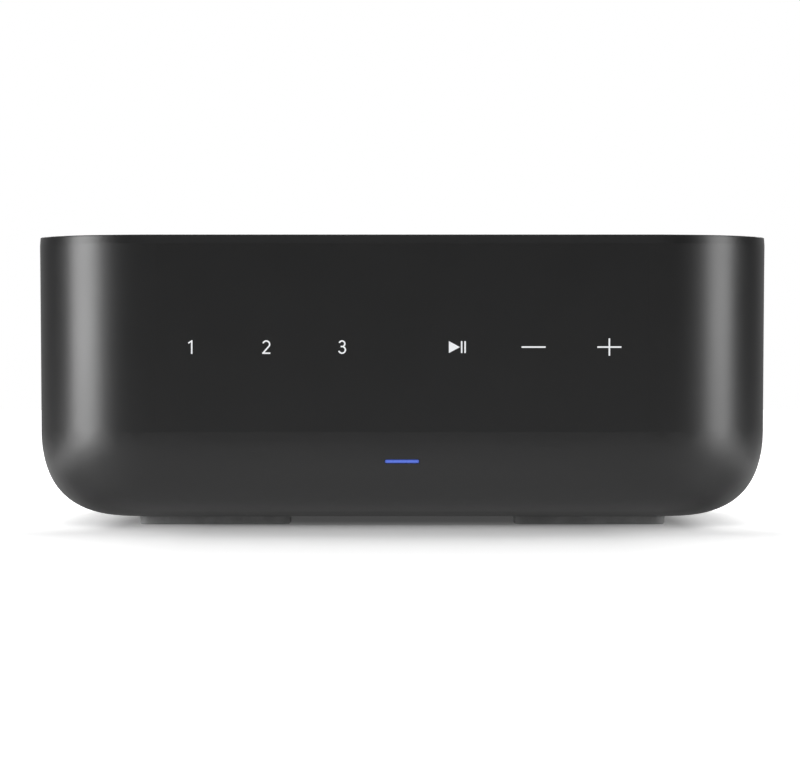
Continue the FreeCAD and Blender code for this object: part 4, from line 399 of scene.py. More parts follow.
class Finish:
    """A material in the making: its shader, and patterns on Object coordinates."""

    def __init__(self, name, base, roughness, metallic=0.0, **constants):
        self.material = bpy.data.materials.new(name)
        self.material.use_nodes = True
        self.tree = self.material.node_tree
        self.shader = self.tree.nodes["Principled BSDF"]
        self.base = base
        self.shader.inputs["Base Color"].default_value = shaded(base)
        self.shader.inputs["Roughness"].default_value = roughness
        self.shader.inputs["Metallic"].default_value = metallic
        for key, value in constants.items():
            self.shader.inputs[key.replace("_", " ").title()].default_value = value
        self.coords = self.add("ShaderNodeTexCoord").outputs["Object"]
        self.height = None

    def add(self, kind, **inputs):
        """A node with its inputs set or linked by name."""
        node = self.tree.nodes.new(kind)
        for key, value in inputs.items():
            self.feed(node.inputs[key.replace("_", " ").title()], value)
        return node

    def feed(self, socket, value):
        """Links an output to a socket, or sets a plain value."""
        if isinstance(value, bpy.types.NodeSocket):
            self.tree.links.new(value, socket)
        else:
            socket.default_value = value

    def stretched(self, scale, centre=(0, 0, 0)):
        """Coordinates counted from a centre and scaled on each axis."""
        node = self.add("ShaderNodeMapping", Vector=self.coords, Scale=scale)
        node.inputs["Location"].default_value = [-c * k for c, k in zip(centre, scale)]
        return node.outputs["Vector"]

    def noise(self, spacing, detail=2.0, vector=None):
        """Noise whose lumps are about one spacing apart."""
        vector = self.coords if vector is None else vector
        node = self.add("ShaderNodeTexNoise", Vector=vector, Scale=1 / spacing, Detail=detail)
        return node.outputs["Fac"]

    def cells(self, spacing, output="Distance"):
        """Round cells about one spacing apart."""
        node = self.add("ShaderNodeTexVoronoi", Vector=self.coords, Scale=1 / spacing)
        return node.outputs[output]

    def between(self, fac, low, high, from_low=0.3, from_high=0.7):
        """A factor spread between two values."""
        ends = {"From_Min": from_low, "From_Max": from_high, "To_Min": low, "To_Max": high}
        return self.add("ShaderNodeMapRange", Value=fac, **ends).outputs["Result"]

    def mixed(self, fac, first, second):
        """A colour between two colours or outputs."""
        node = self.tree.nodes.new("ShaderNodeMix")
        node.data_type = "RGBA"
        self.feed(node.inputs[MIX_FACTOR], fac)
        self.feed(node.inputs[MIX_FIRST], first)
        self.feed(node.inputs[MIX_SECOND], second)
        return node.outputs[MIX_RESULT]

    def math(self, operation, first, second=0.0):
        """One step of arithmetic."""
        node = self.tree.nodes.new("ShaderNodeMath")
        node.operation = operation
        self.feed(node.inputs[0], first)
        self.feed(node.inputs[1], second)
        return node.outputs[0]

    def times(self, *factors):
        """The product of several values."""
        return reduce(lambda first, second: self.math("MULTIPLY", first, second), factors)

    def plus(self, *terms):
        """The sum of several values."""
        return reduce(lambda first, second: self.math("ADD", first, second), terms)

    def paint_with(self, tone):
        """Takes the base colour from an output."""
        self.feed(self.shader.inputs["Base Color"], tone)

    def tint(self, fac, low, high):
        """Lets the base colour drift darker and lighter."""
        fac = self.between(fac, 0, 1)
        self.paint_with(self.mixed(fac, shaded(self.base, low), shaded(self.base, high)))

    def gloss(self, fac, low, high):
        """Lets the roughness drift between two values."""
        self.feed(self.shader.inputs["Roughness"], self.between(fac, low, high))

    def relief(self, fac, depth):
        """Adds a relief of some depth, over any that is there."""
        node = self.add("ShaderNodeBump", Height=fac, Distance=depth, Strength=1.0)
        if self.height is not None:
            self.feed(node.inputs["Normal"], self.height)
        self.height = node.outputs["Normal"]
        self.feed(self.shader.inputs["Normal"], self.height)

    def glow(self, light, strength):
        """Makes the surface give light."""
        self.feed(self.shader.inputs["Emission Color"], light)
        self.shader.inputs["Emission Strength"].default_value = strength


def moulded(name, base, roughness, grain, relief, specular=0.5):
    """Satin moulded plastic: a fine grain, and a slow drift of gloss as from handling."""
    finish = Finish(name, base, roughness)
    finish.shader.inputs["Specular IOR Level"].default_value = specular
    slow = finish.noise(38 * MM, 3.0)
    finish.tint(slow, 0.94, 1.06)
    finish.gloss(finish.noise(17 * MM, 4.0), roughness - 0.01, roughness + 0.01)
    finish.relief(finish.noise(grain, 2.0), relief)
    return finish.material


def glossy(name, base, roughness=0.18, ripple=0.006 * MM):
    """Polished plastic with a faint ripple and fine scuffs."""
    finish = Finish(name, base, roughness)
    finish.tint(finish.noise(6 * MM), 0.93, 1.07)
    finish.gloss(finish.noise(1.6 * MM, 5.0), roughness * 0.8, roughness * 1.35)
    finish.relief(finish.noise(2.4 * MM), ripple)
    return finish.material


def turned_metal(name, base, roughness, mark=0.45 * MM, depth=0.0025 * MM):
    """Plated metal turned about an axis along Y, with fine tool marks round it."""
    finish = Finish(name, base, roughness, metallic=1.0)
    rings = finish.noise(mark, 2.0, finish.stretched((0.02, 1, 0.02)))
    finish.tint(finish.noise(3 * MM), 0.94, 1.05)
    finish.gloss(finish.noise(0.9 * MM, 4.0), roughness * 0.75, roughness * 1.4)
    finish.relief(rings, depth)
    return finish.material


def sheet_metal(name, base, roughness, spangle, relief=0.004 * MM):
    """Rolled sheet with the crystal pattern of zinc or tin."""
    finish = Finish(name, base, roughness, metallic=1.0)
    crystals = finish.cells(spangle, "Color")
    finish.tint(crystals, 0.86, 1.08)
    finish.gloss(crystals, roughness * 0.8, roughness * 1.25)
    finish.relief(finish.noise(0.5 * MM, 3.0, finish.stretched((1, 0.05, 1))), relief)
    return finish.material


def powder_coat(name, base, roughness, grain=0.55 * MM, relief=0.03 * MM):
    """Fine textured powder coat on sheet steel."""
    finish = Finish(name, base, roughness)
    lumps = finish.cells(grain)
    finish.tint(finish.noise(25 * MM), 0.9, 1.1)
    finish.gloss(lumps, roughness - 0.06, roughness + 0.1)
    finish.relief(finish.noise(grain * 2, 3.0), relief * 0.5)
    finish.relief(lumps, relief)
    return finish.material


def rubber(name, base):
    """Dull rubber with a dusty bloom."""
    finish = Finish(name, base, 0.75)
    finish.tint(finish.noise(4 * MM, 5.0), 0.9, 1.15)
    finish.gloss(finish.noise(2 * MM, 4.0), 0.62, 0.88)
    finish.relief(finish.noise(0.3 * MM, 3.0), 0.02 * MM)
    return finish.material


def circuit_board(name, mask, copper, track):
    """Solder mask with copper tracks and pads that show under it."""
    finish = Finish(name, mask, 0.32)
    lanes = finish.noise(track, 0.0, finish.stretched((1, 0.14, 0.14)))
    tracks = finish.between(lanes, 0, 1, 0.5, 0.53)
    pads = finish.between(finish.cells(4.6 * MM), 1, 0, 0.1, 0.13)
    shown = finish.math("MAXIMUM", tracks, pads)
    drift = finish.mixed(finish.noise(9 * MM), shaded(mask, 0.8), shaded(mask))
    finish.paint_with(finish.mixed(shown, drift, shaded(copper)))
    finish.gloss(finish.noise(1.2 * MM, 3.0), 0.26, 0.4)
    finish.relief(shown, 0.03 * MM)
    return finish.material


def wrapped(name, base, roughness, pitch):
    """Tape or wire laid in turns one pitch apart up a winding."""
    finish = Finish(name, base, roughness)
    turns = finish.add("ShaderNodeTexWave", Vector=finish.coords, Scale=WAVE_PITCH / pitch)
    turns.bands_direction = "Z"
    finish.tint(turns.outputs["Fac"], 0.7, 1.1)
    finish.gloss(finish.noise(1.5 * MM), roughness - 0.08, roughness + 0.1)
    finish.relief(turns.outputs["Fac"], 0.08 * MM)
    return finish.material


def ceramic(name, base, roughness, lump):
    """Fired or pressed powder, such as ferrite."""
    finish = Finish(name, base, roughness)
    finish.tint(finish.noise(lump, 5.0), 0.6, 1.4)
    finish.gloss(finish.noise(2 * MM, 4.0), roughness - 0.1, roughness + 0.12)
    finish.relief(finish.noise(lump, 4.0), 0.03 * MM)
    return finish.material


def clear(name, base, roughness):
    """Clear moulded plastic."""
    finish = Finish(name, base, roughness, transmission_weight=0.7)
    finish.shader.inputs["IOR"].default_value = 1.49
    finish.gloss(finish.noise(3 * MM, 3.0), roughness, roughness + 0.08)
    finish.relief(finish.noise(1.5 * MM), 0.005 * MM)
    return finish.material


def film(name, base, line):
    """A printed film with fine sensing lines."""
    finish = Finish(name, base, 0.28)
    mesh = finish.add("ShaderNodeTexBrick", Vector=finish.coords, Scale=1 / line)
    finish.tint(mesh.outputs["Fac"], 0.7, 1.1)
    finish.gloss(finish.noise(4 * MM), 0.22, 0.36)
    finish.relief(mesh.outputs["Fac"], 0.01 * MM)
    return finish.material


def lit(name, light, strength, base):
    """A legend lit from behind, a little uneven as light guides are."""
    finish = Finish(name, base, 0.42)
    uneven = finish.between(finish.noise(5 * MM, 2.0), 0, 1)
    finish.glow(finish.mixed(uneven, shaded(light, 0.94), shaded(light)), strength)
    finish.gloss(finish.noise(0.6 * MM), 0.38, 0.48)
    finish.relief(finish.noise(0.35 * MM), 0.003 * MM)
    return finish.material


def lit_bar(name, core, edge, strength, base):
    """The light bar: brightest along its middle line, deeper in colour at its edges."""
    finish = Finish(name, base, 0.3)
    middle = (BAR_LOW + BAR_HIGH) / 2
    size = BAR_HIGH - BAR_LOW
    spread = (1 / size.x, 0, 1 / size.z)
    place = finish.add("ShaderNodeSeparateXYZ", Vector=finish.stretched(spread, middle))
    across = finish.math("ABSOLUTE", place.outputs["Z"])
    along = finish.math("ABSOLUTE", place.outputs["X"])
    # Shares of the bar's height and width, out from its middle
    dim_across = finish.between(across, 0, 1, 0.18, 0.48)
    dim_along = finish.between(along, 0, 1, 0.44, 0.5)
    dim = finish.math("MAXIMUM", dim_across, dim_along)
    finish.glow(finish.mixed(dim, shaded(core), shaded(edge)), strength)
    finish.gloss(finish.noise(1 * MM), 0.25, 0.35)
    return finish.material


# Operators, one for each group of like pieces


class AMPLIFIER_OT_case(bpy.types.Operator):
    """Gives the shell and the lid their satin finish"""

    bl_idname = "amplifier.case"
    bl_label = "Case"

    def execute(self, context):
        wish = context.scene.amplifier_case
        shell = moulded("shell_satin", wish.shell, wish.roughness, wish.grain, wish.relief)
        lid = moulded(
            "lid_satin", wish.lid, wish.lid_roughness, wish.grain, wish.relief, wish.lid_sheen
        )
        paint(shell, "outer_shell")
        paint(lid, "lid")
        return {"FINISHED"}


class AMPLIFIER_OT_lights(bpy.types.Operator):
    """Lights the legends and the light bar"""

    bl_idname = "amplifier.lights"
    bl_label = "Legends and light bar"

    def execute(self, context):
        wish = context.scene.amplifier_lights
        legends = lit("legend_light", wish.legend, wish.legend_glow, wish.inlay)
        bar = lit_bar("bar_light", wish.bar_core, wish.bar_edge, wish.bar_glow, wish.bar)
        paint(legends, "preset_numerals", "transport_signs")
        paint(bar, "status_light_pipe")
        paint(clear("lamp_clear", wish.lens, roughness=0.12), "status_leds")
        paint(clear("guide_clear", wish.guide, roughness=0.2), "legend_light_guide")
        paint(film("touch_film_amber", wish.film, line=2.2 * MM), "touch_film")
        return {"FINISHED"}


class AMPLIFIER_OT_feet(bpy.types.Operator):
    """Makes the four rubber feet with their grooved treads"""

    bl_idname = "amplifier.feet"
    bl_label = "Rubber feet"

    def execute(self, context):
        wish = context.scene.amplifier_feet
        finish = rubber("foot_rubber", wish.rubber)
        places = self.places()
        if len(places) != 4:
            raise RuntimeError("the packed feet aren't four separate pads")
        low, high = places[0]
        first = self.one_foot(wish, low, high)
        pads = [first]
        for other_low, _ in places[1:]:
            copy = first.copy()
            copy.data = first.data.copy()
            context.scene.collection.objects.link(copy)
            copy.location = other_low - low
            pads.append(settle(copy, "foot"))
        for number, pad in enumerate(pads, 1):
            pad.name = pad.data.name = "rubber_foot_%d" % number
            put_on(pad, "case", finish)
            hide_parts("rubber_feet")
        return {"FINISHED"}

    def places(self):
        """The corners of each packed pad, by the quarter of the floor it stands in."""
        corners = [v.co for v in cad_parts["rubber_feet"].data.vertices]
        middle = (FOOT_LOW + FOOT_HIGH) / 2
        found = {}
        for corner in corners:
            quarter = (corner.y > middle.y, corner.x > middle.x)
            low, high = found.setdefault(quarter, (corner.copy(), corner.copy()))
            for axis in range(3):
                low[axis] = min(low[axis], corner[axis])
                high[axis] = max(high[axis], corner[axis])
        return [found[quarter] for quarter in sorted(found)]

    def one_foot(self, wish, low, high):
        """A pad with round corners, a soft lower edge and ribs between grooves."""
        pad = new_block("foot", low, high)
        slack = 0.01 * MM
        select_edges(pad, lambda a, b: abs(a.z - b.z) > 0.5 * (high.z - low.z))
        bpy.ops.mesh.bevel(offset=wish.corner, segments=8, affect="EDGES")
        select_edges(pad, lambda a, b: max(a.z, b.z) < low.z + slack)
        bpy.ops.mesh.bevel(offset=wish.edge, segments=4, affect="EDGES")
        select_faces(pad, lambda f: faces_way(f, DOWN) and f.center.z < low.z + slack)
        bpy.ops.mesh.inset(thickness=wish.rim)
        extrude((0, 0, wish.tread))
        span = high.x - low.x
        cuts = wish.grooves * 2

        def is_pan(face):
            return faces_way(face, DOWN) and abs(face.center.z - low.z - wish.tread) < slack

        def is_rib(face):
            return is_pan(face) and int((face.center.x - low.x) / span * cuts) % 2

        for cut in range(1, cuts):
            bpy.ops.mesh.bisect(plane_co=(low.x + span * cut / cuts, 0, 0), plane_no=RIGHT)
            select_faces(pad, is_pan)
        select_faces(pad, is_rib)
        # The ribs stop a little above the rim, which bears the weight
        rib = wish.tread * 0.9
        extrude((0, 0, -rib))
        finish_mesh(pad)
        return pad


class AMPLIFIER_OT_posts(bpy.types.Operator):
    """Finishes the speaker posts"""

    bl_idname = "amplifier.posts"
    bl_label = "Speaker posts"

    def execute(self, context):
        wish = context.scene.amplifier_posts
        gold = turned_metal("gold_turned", wish.gold, roughness=0.2)
        red = glossy("post_red", wish.red)
        black = glossy("post_black", wish.black)
        washers = ["clamp_washer_%s_%s" % (c, p) for c in CHANNELS for p in POLES]
        paint(gold, "post_studs", "post_nuts", *washers)
        paint(red, "positive_collars", *["post_cap_%s_positive" % c for c in CHANNELS])
        paint(black, "negative_collars", *["post_cap_%s_negative" % c for c in CHANNELS])
        return {"FINISHED"}


class AMPLIFIER_OT_marks(bpy.types.Operator):
    """Prints the signs, lines and triangles on the rear panel"""

    bl_idname = "amplifier.marks"
    bl_label = "Printed marks"

    def execute(self, context):
        wish = context.scene.amplifier_marks
        ink = moulded("print_white", wish.ink, 0.5, grain=0.3 * MM, relief=0.004 * MM)
        marks = [self.one_sign(wish, pole) for pole in POLES]
        marks += self.dividers(wish) + self.pointers(wish)
        for mark in marks:
            put_on(mark, "case", ink)
        return {"FINISHED"}

    def one_sign(self, wish, pole):
        """A plus or minus sign between two posts, grown from the square at its middle."""
        boxes = [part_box("post_cap_%s_%s" % (channel, pole)) for channel in CHANNELS]
        middle = sum((low + high for low, high in boxes), Vector()) / 4
        at = Vector((middle.x, PANEL_FACE, middle.z))
        half = wish.stroke / 2
        arm = wish.sign / 2 - half
        corner = Vector((half, 0, half))
        sign = new_block(pole + "_sign", at - corner, at + corner + Vector((0, wish.relief, 0)))
        ways = (RIGHT, LEFT, UP, DOWN) if pole == "positive" else (RIGHT, LEFT)
        for way in ways:
            step = Vector(way)
            side = at + step * half
            select_faces(
                sign, lambda f: faces_way(f, step) and (f.center - side).length < wish.stroke
            )
            extrude(step * arm)
        finish_mesh(sign)
        return sign

    def dividers(self, wish):
        """Upright lines between the groups of sockets."""
        low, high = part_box("jack_ring_red")[0].z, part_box("network_socket")[1].z
        lines = []
        for number, (left, right) in enumerate(DIVIDED, 1):
            middle = (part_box(left)[0].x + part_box(right)[1].x) / 2
            foot = Vector((middle, PANEL_FACE, low))
            lines.append(self.one_line(wish, "divider_%d" % number, foot, high - low))
        return lines

    def one_line(self, wish, name, foot, tall):
        """An upright line with round ends, drawn up from the square at its foot."""
        half = wish.line / 2
        corner = Vector((half, 0, half))
        line = new_block(name, foot - corner, foot + corner + Vector((0, wish.relief, 0)))
        select_faces(line, lambda f: faces_way(f, UP))
        extrude((0, 0, tall))

        def at_an_end(a, b):
            between_ends = foot.z < a.z < foot.z + tall
            return abs(a.y - b.y) > wish.relief / 2 and not between_ends

        # Just short of half round, so that the two rounds of an end don't meet
        end_round = half * 0.9
        select_edges(line, at_an_end)
        bpy.ops.mesh.bevel(offset=end_round, segments=4, affect="EDGES")
        finish_mesh(line)
        return line

    def pointers(self, wish):
        """Two small triangles between the paired jacks, one towards each."""
        low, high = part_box("jack_ring_red")
        # The gap above the red ring ends one ring under the top of the white ones
        gap_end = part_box("jack_rings_white")[1].z - (high.z - low.z)
        middle = Vector(((low.x + high.x) / 2, PANEL_FACE, (high.z + gap_end) / 2))
        apart = wish.pointer * 1.5
        corner_round = wish.pointer * 0.15
        found = []
        for name, way in (("pointer_up", 1), ("pointer_down", -1)):
            clear_selection()
            bpy.ops.mesh.primitive_cone_add(
                vertices=3,
                radius1=wish.pointer,
                radius2=wish.pointer,
                depth=wish.relief,
                location=middle + Vector((0, wish.relief / 2, way * apart)),
                rotation=(math.pi / 2, 0 if way > 0 else math.pi, 0),
            )
            pointer = settle(bpy.context.object, name)
            select_edges(pointer, lambda a, b: abs(a.y - b.y) > wish.relief / 2)
            bpy.ops.mesh.bevel(offset=corner_round, segments=3, affect="EDGES")
            finish_mesh(pointer)
            found.append(pointer)
        return found


class AMPLIFIER_OT_jacks(bpy.types.Operator):
    """Finishes the phono jacks and their coloured rings"""

    bl_idname = "amplifier.jacks"
    bl_label = "Phono jacks"

    def execute(self, context):
        wish = context.scene.amplifier_posts
        body = moulded("jack_insulator", wish.black, 0.45, grain=0.3 * MM, relief=0.006 * MM)
        paint(turned_metal("gold_jack", wish.gold, roughness=0.24), "jack_barrels")
        paint(body, "jack_bodies")
        paint(glossy("ring_red", wish.red, roughness=0.25), "jack_ring_red")
        paint(glossy("ring_white", wish.white, roughness=0.25), "jack_rings_white")
        return {"FINISHED"}


class AMPLIFIER_OT_sockets(bpy.types.Operator):
    """Finishes the data sockets and sets the lamps of the network socket"""

    bl_idname = "amplifier.sockets"
    bl_label = "Data sockets"

    def execute(self, context):
        wish = context.scene.amplifier_sockets
        gold = context.scene.amplifier_posts.gold
        # Material, colour, roughness, spacing and depth of the grain in mm, and pieces
        moulds = (
            ("socket_black", wish.housing, 0.42, 0.35, 0.006, "network_socket", "optical_socket"),
            ("tongue_white", (0.7, 0.7, 0.68), 0.4, 0.2, 0.004, "service_tongue"),
            ("shutter_grey", (0.04, 0.04, 0.042), 0.5, 0.3, 0.008, "optical_shutter"),
            ("button_grey", (0.2, 0.2, 0.21), 0.4, 0.3, 0.006, "setup_button"),
            ("switch_black", (0.02, 0.02, 0.021), 0.45, 0.3, 0.006, "setup_switch"),
        )
        for name, tone, roughness, grain, relief, *nodes in moulds:
            paint(moulded(name, tone, roughness, grain * MM, relief * MM), *nodes)
        tin = sheet_metal("tinned_steel", wish.tin, roughness=0.28, spangle=1.8 * MM)
        paint(tin, "service_socket")
        paint(turned_metal("gold_contact", gold, roughness=0.22), "network_contacts")
        lamps = ((-1, "link_lamp", wish.link_lamp), (1, "data_lamp", wish.data_lamp))
        for side, name, light in lamps:
            lamp = self.one_lamp(wish, side, name)
            glow = lit(name + "_light", light, wish.lamp_glow, base=light)
            put_on(lamp, "case", glow)
        return {"FINISHED"}

    def one_lamp(self, wish, side, name):
        """A small lens with round edges in a lower corner of the network socket's face."""
        low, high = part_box("network_socket")
        half = wish.lamp_size / 2
        inset = half + wish.lamp_inset
        edge = high.x - inset if side > 0 else low.x + inset
        middle = Vector((edge, high.y, low.z + inset))
        proud = wish.lamp_proud
        corner = Vector((half, proud, half))
        lamp = new_block(name, middle - corner, middle + corner)
        edge_round = proud * 0.8
        select_edges(lamp, lambda a, b: min(a.y, b.y) > middle.y or abs(a.y - b.y) > proud)
        bpy.ops.mesh.bevel(offset=edge_round, segments=3, affect="EDGES")
        finish_mesh(lamp)
        return lamp


class AMPLIFIER_OT_inlet(bpy.types.Operator):
    """Finishes the mains inlet, its pins and its wires"""

    bl_idname = "amplifier.inlet"
    bl_label = "Mains inlet"

    def execute(self, context):
        wish = context.scene.amplifier_sockets
        inlet = moulded("inlet_black", wish.housing, 0.48, grain=0.4 * MM, relief=0.01 * MM)
        lead = moulded("lead_blue", wish.lead, 0.4, grain=0.5 * MM, relief=0.01 * MM)
        paint(inlet, "mains_inlet")
        paint(turned_metal("nickel_pin", wish.tin, roughness=0.2), "inlet_pins")
        paint(lead, "mains_leads")
        return {"FINISHED"}


class AMPLIFIER_OT_panel(bpy.types.Operator):
    """Powder coats the rear panel and finishes its screws"""

    bl_idname = "amplifier.panel"
    bl_label = "Rear panel"

    def execute(self, context):
        wish = context.scene.amplifier_sockets
        black_zinc = turned_metal("screw_black_zinc", wish.black_screw, roughness=0.34)
        zinc = turned_metal("screw_zinc", wish.screw, roughness=0.3)
        paint(powder_coat("panel_powder", wish.panel, roughness=0.55), "rear_panel")
        paint(black_zinc, "panel_screws")
        paint(zinc, "board_screws", "chassis_screws")
        return {"FINISHED"}


class AMPLIFIER_OT_inside(bpy.types.Operator):
    """Finishes the boards, the chassis and the parts on them"""

    bl_idname = "amplifier.inside"
    bl_label = "Inside"

    def execute(self, context):
        wish = context.scene.amplifier_inside
        # Material, solder mask, tracks and their width in mm, and pieces
        boards = (
            ("board_green", wish.board, wish.copper, 1.9, *GREEN_BOARDS),
            ("board_tan", wish.tan_board, (0.3, 0.17, 0.05), 3.4, "power_board"),
            ("module_blue", (0.01, 0.035, 0.15), (0.03, 0.08, 0.24), 1.1, "network_module"),
        )
        for name, mask, copper, track, *nodes in boards:
            paint(circuit_board(name, mask, copper, track * MM), *nodes)
        # Material, colour, roughness, size of the pattern in mm, and piece
        parts = (
            (sheet_metal, "chassis_zinc", wish.steel, 0.38, 7, "chassis_plate"),
            (sheet_metal, "shield_tin", (0.66, 0.66, 0.63), 0.3, 3, "network_shield"),
            (ceramic, "chip_epoxy", (0.022, 0.022, 0.024), 0.55, 0.25, "amplifier_chips"),
            (ceramic, "choke_ferrite", (0.07, 0.07, 0.075), 0.5, 0.5, "output_chokes"),
            (ceramic, "core_ferrite", (0.05, 0.05, 0.055), 0.6, 0.5, "transformer_core"),
            (wrapped, "winding_tape", (0.62, 0.45, 0.05), 0.3, 1.2, "transformer_winding"),
            (wrapped, "choke_green", (0.05, 0.22, 0.1), 0.35, 0.9, "mains_choke"),
            (wrapped, "ribbon_grey", (0.45, 0.45, 0.46), 0.4, 1.0, "front_ribbon"),
        )
        for make, name, tone, roughness, pattern, node in parts:
            paint(make(name, tone, roughness, pattern * MM), node)
        paint(turned_metal("standoff_brass", (0.6, 0.45, 0.18), roughness=0.3), "board_standoffs")
        sleeve = glossy("capacitor_sleeve", (0.02, 0.025, 0.05), roughness=0.24, ripple=0.02 * MM)
        paint(sleeve, "board_capacitors")
        nylon = moulded("plug_nylon", wish.white, 0.42, grain=0.4 * MM, relief=0.008 * MM)
        paint(nylon, "socket_link", "board_plugs")
        paint(film("aerial_film", (0.05, 0.05, 0.05), line=5 * MM), "aerial_strips")
        paint(self.anodised((0.03, 0.03, 0.033)), "heat_sink")
        return {"FINISHED"}

    def anodised(self, base):
        """Dark anodised metal with the lines that its drawing left."""
        finish = Finish("sink_anodised", base, 0.45, metallic=0.7)
        finish.gloss(finish.noise(2 * MM, 3.0), 0.38, 0.52)
        finish.relief(finish.noise(0.4 * MM, 2.0, finish.stretched((1, 0.03, 1))), 0.01 * MM)
        return finish.material


class AMPLIFIER_OT_stage(bpy.types.Operator):
    """Sets up the floor, the surroundings, the lamps and the camera"""

    bl_idname = "amplifier.stage"
    bl_label = "Studio"

    def execute(self, context):
        wish = context.scene.amplifier_stage
        self.floor(wish)
        self.surroundings(context, wish)
        for name, *place, power in LAMPS:
            self.lamp(name, *place, getattr(wish, power))
        camera = bpy.data.cameras.new("camera")
        camera.lens = wish.lens
        camera.sensor_width = wish.sensor
        camera.clip_start = 0.01
        viewer = bpy.data.objects.new("camera", camera)
        viewer.location = wish.camera_place
        viewer.rotation_euler = (math.pi / 2, 0, wish.camera_turn)
        context.scene.collection.objects.link(viewer)
        context.scene.camera = viewer
        context.scene.view_settings.view_transform = "Standard"
        return {"FINISHED"}

    def floor(self, wish):
        """A wide pale floor that the camera sees almost white, with the object's shadow on it,
        lightened by painted light beside the feet and under the front edge; glossy surfaces see
        painted reflections, painted lamp pools and painted shade on it.
        """
        clear_selection()
        middle = (FLOOR_REACH - wish.floor_front) / 2
        bpy.ops.mesh.primitive_plane_add(size=1, location=(0, middle, 0))
        bpy.context.object.scale = (FLOOR_REACH * 2, (FLOOR_REACH - middle) * 2, 1)
        floor = settle(bpy.context.object, "studio_floor")
        finish = Finish("floor_pale", wish.floor, 0.75)
        finish.shader.inputs["Specular IOR Level"].default_value = 0.2
        path = finish.tree.nodes.new("ShaderNodeLightPath").outputs
        glossy_ray = path["Is Glossy Ray"]
        not_glossy = finish.math("SUBTRACT", 1, glossy_ray)
        place = finish.add("ShaderNodeSeparateXYZ", Vector=finish.coords).outputs
        across, along = finish.math("ABSOLUTE", place["X"]), place["Y"]
        distance = finish.add("ShaderNodeVectorMath", Vector=finish.coords)
        distance.operation = "LENGTH"
        away = distance.outputs["Value"]
        straight = self.white_straight(wish, finish, across, along, away)
        mirrored = self.painted_reflections(wish, finish, across, along, away)
        # Painted light under the front edge, lightening the shadow there for the camera and diffuse
        # light
        edge = finish.between(along, wish.painted_light_front_edge, 0, *EDGE_ALONG)
        under = finish.times(edge, finish.between(away, 1, 0, *EDGE_AWAY), not_glossy)
        straight = finish.times(path["Is Camera Ray"], straight)
        light = finish.plus(straight, finish.times(glossy_ray, mirrored), under)
        finish.shader.inputs["Emission Color"].default_value = WHITE
        finish.feed(finish.shader.inputs["Emission Strength"], light)
        # Painted shade: glossy surfaces see the floor darker behind the front
        behind = finish.between(along, 0, wish.painted_shade_behind, *PAINTED_SHADE_ALONG)
        after_painted_shade = finish.math("SUBTRACT", 1, finish.times(glossy_ray, behind))
        drift = finish.between(finish.noise(0.5, 2.0), 0.99, 1.01)
        finish.paint_with(finish.mixed(finish.times(drift, after_painted_shade), BLACK, shaded(wish.floor)))
        floor.data.materials.append(finish.material)

    def white_straight(self, wish, finish, across, along, away):
        """What the camera sees added to the floor: white far off, and painted light that lightens
        the shadow to the sides and beside the feet.
        """
        ends = (wish.floor_start, wish.floor_whole)
        far = finish.between(away, wish.floor_base, wish.floor_lift, *ends)
        # Painted light over the shadow beside the feet and to the sides
        beside = finish.between(across, 0, wish.painted_light_beside, *BESIDE_ACROSS)
        behind = finish.between(along, 0, 1, *BESIDE_ALONG)
        wide = finish.between(across, 0, wish.painted_light_aside, *WIDE_ACROSS)
        return finish.plus(far, finish.times(beside, behind), wide)

    def painted_reflections(self, wish, finish, across, along, away):
        """Painted reflections that glossy surfaces see on the floor: white in front and to the
        sides, and painted pools of the lamps' light.
        """
        front = finish.between(along, 1, GLOSS_UNDER, *GLOSS_ALONG)
        beside = finish.between(across, GLOSS_UNDER, GLOSS_BESIDE, *GLOSS_ACROSS)
        level = finish.between(away, wish.painted_gloss_white, GLOSS_OFF, *GLOSS_AWAY)
        fade = finish.between(away, 1, 0, *GLOSS_END)
        near = finish.times(finish.math("MAXIMUM", front, beside), level, fade)
        return finish.plus(near, self.painted_lamp_pools(wish, finish, away))

    def painted_lamp_pools(self, wish, finish, away):
        """Painted pools of the side lamps' light on the floor, seen only in gloss: a wedge on
        either side, a little in front.
        """
        way = finish.add("ShaderNodeVectorMath", Vector=finish.coords)
        way.operation = "NORMALIZE"
        parts = finish.add("ShaderNodeSeparateXYZ", Vector=way.outputs["Vector"]).outputs
        off = finish.math("ABSOLUTE", finish.plus(parts["Y"], POOL_FORWARD))
        wedge = finish.between(off, 1, 0, *POOL_FADE)
        rise = finish.between(away, 0, 1, *POOL_AWAY)
        side = finish.between(parts["X"], wish.painted_pool_left, wish.painted_pool_right, *POOL_SIDES)
        return finish.times(wedge, rise, side)

    def surroundings(self, context, wish):
        """White behind the object, dark in front of it, and plain white to the camera."""
        world = bpy.data.worlds.new("surroundings")
        context.scene.world = world
        world.use_nodes = True
        tree = world.node_tree
        add, link = tree.nodes.new, tree.links.new
        background = tree.nodes["Background"]
        background.inputs["Color"].default_value = WHITE
        direction = add("ShaderNodeSeparateXYZ")
        link(add("ShaderNodeTexCoord").outputs["Generated"], direction.inputs[0])
        fall = add("ShaderNodeMapRange")
        fall.interpolation_type = "SMOOTHSTEP"
        link(direction.outputs["Y"], fall.inputs["Value"])
        fall.inputs["From Min"].default_value = BACKDROP_RISE[0]
        fall.inputs["From Max"].default_value = BACKDROP_RISE[1]
        fall.inputs["To Min"].default_value = wish.front_room
        fall.inputs["To Max"].default_value = wish.backdrop
        path = add("ShaderNodeLightPath")
        seen = add("ShaderNodeMath")
        seen.operation = "MAXIMUM"
        link(path.outputs["Is Camera Ray"], seen.inputs[0])
        link(fall.outputs["Result"], seen.inputs[1])
        link(seen.outputs[0], background.inputs["Strength"])

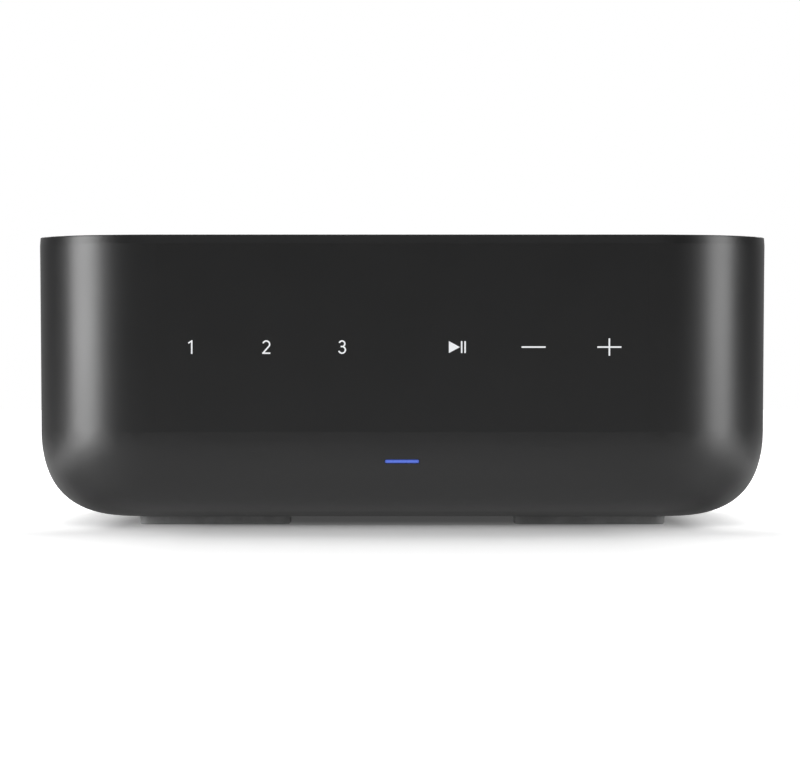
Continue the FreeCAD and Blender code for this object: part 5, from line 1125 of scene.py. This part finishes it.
    def lamp(self, name, azimuth, elevation, distance, width, height, power):
        """A soft rectangular lamp that faces the object, placed by its angles from the front."""
        light = bpy.data.lights.new(name, "AREA")
        light.shape = "RECTANGLE"
        light.size = width
        light.size_y = height
        light.energy = power
        around, up = math.radians(azimuth), math.radians(elevation)
        level = Vector((math.sin(around), -math.cos(around), 0)) * math.cos(up)
        lamp = bpy.data.objects.new(name, light)
        lamp.location = (level + Vector((0, 0, math.sin(up)))) * distance
        lamp.rotation_euler = (-lamp.location).to_track_quat("-Z", "Y").to_euler()
        bpy.context.scene.collection.objects.link(lamp)


OPERATORS = (
    AMPLIFIER_OT_case,
    AMPLIFIER_OT_lights,
    AMPLIFIER_OT_feet,
    AMPLIFIER_OT_posts,
    AMPLIFIER_OT_marks,
    AMPLIFIER_OT_jacks,
    AMPLIFIER_OT_sockets,
    AMPLIFIER_OT_inlet,
    AMPLIFIER_OT_panel,
    AMPLIFIER_OT_inside,
    AMPLIFIER_OT_stage,
)

SETTINGS = {
    "amplifier_case": CaseSettings,
    "amplifier_lights": LightSettings,
    "amplifier_feet": FootSettings,
    "amplifier_posts": PostSettings,
    "amplifier_marks": MarkSettings,
    "amplifier_sockets": SocketSettings,
    "amplifier_inside": InsideSettings,
    "amplifier_stage": StageSettings,
}


class AMPLIFIER_PT_panel(bpy.types.Panel):
    """Lists the amplifier's settings and its operators"""

    bl_idname = "AMPLIFIER_PT_panel"
    bl_label = "Streaming amplifier"
    bl_space_type = "VIEW_3D"
    bl_region_type = "UI"
    bl_category = "Amplifier"

    def draw(self, context):
        for key, group in SETTINGS.items():
            box = self.layout.box()
            box.label(text=group.__doc__)
            for name in group.__annotations__:
                box.prop(getattr(context.scene, key), name)
        for operator in OPERATORS:
            self.layout.operator(operator.bl_idname)


CLASSES = (*SETTINGS.values(), *OPERATORS, AMPLIFIER_PT_panel)


def register():
    """Registers the classes and puts the settings on the scene."""
    for item in CLASSES:
        bpy.utils.register_class(item)
    for key, group in SETTINGS.items():
        setattr(bpy.types.Scene, key, PointerProperty(type=group))


def unregister():
    """Takes the settings and the classes away again."""
    for key in SETTINGS:
        delattr(bpy.types.Scene, key)
    for item in reversed(CLASSES):
        bpy.utils.unregister_class(item)


def main():
    """Dresses the object and sets up the studio."""
    register()
    for operator in OPERATORS:
        group, name = operator.bl_idname.split(".")
        getattr(getattr(bpy.ops, group), name)()


if __name__ == "__main__":
    main()
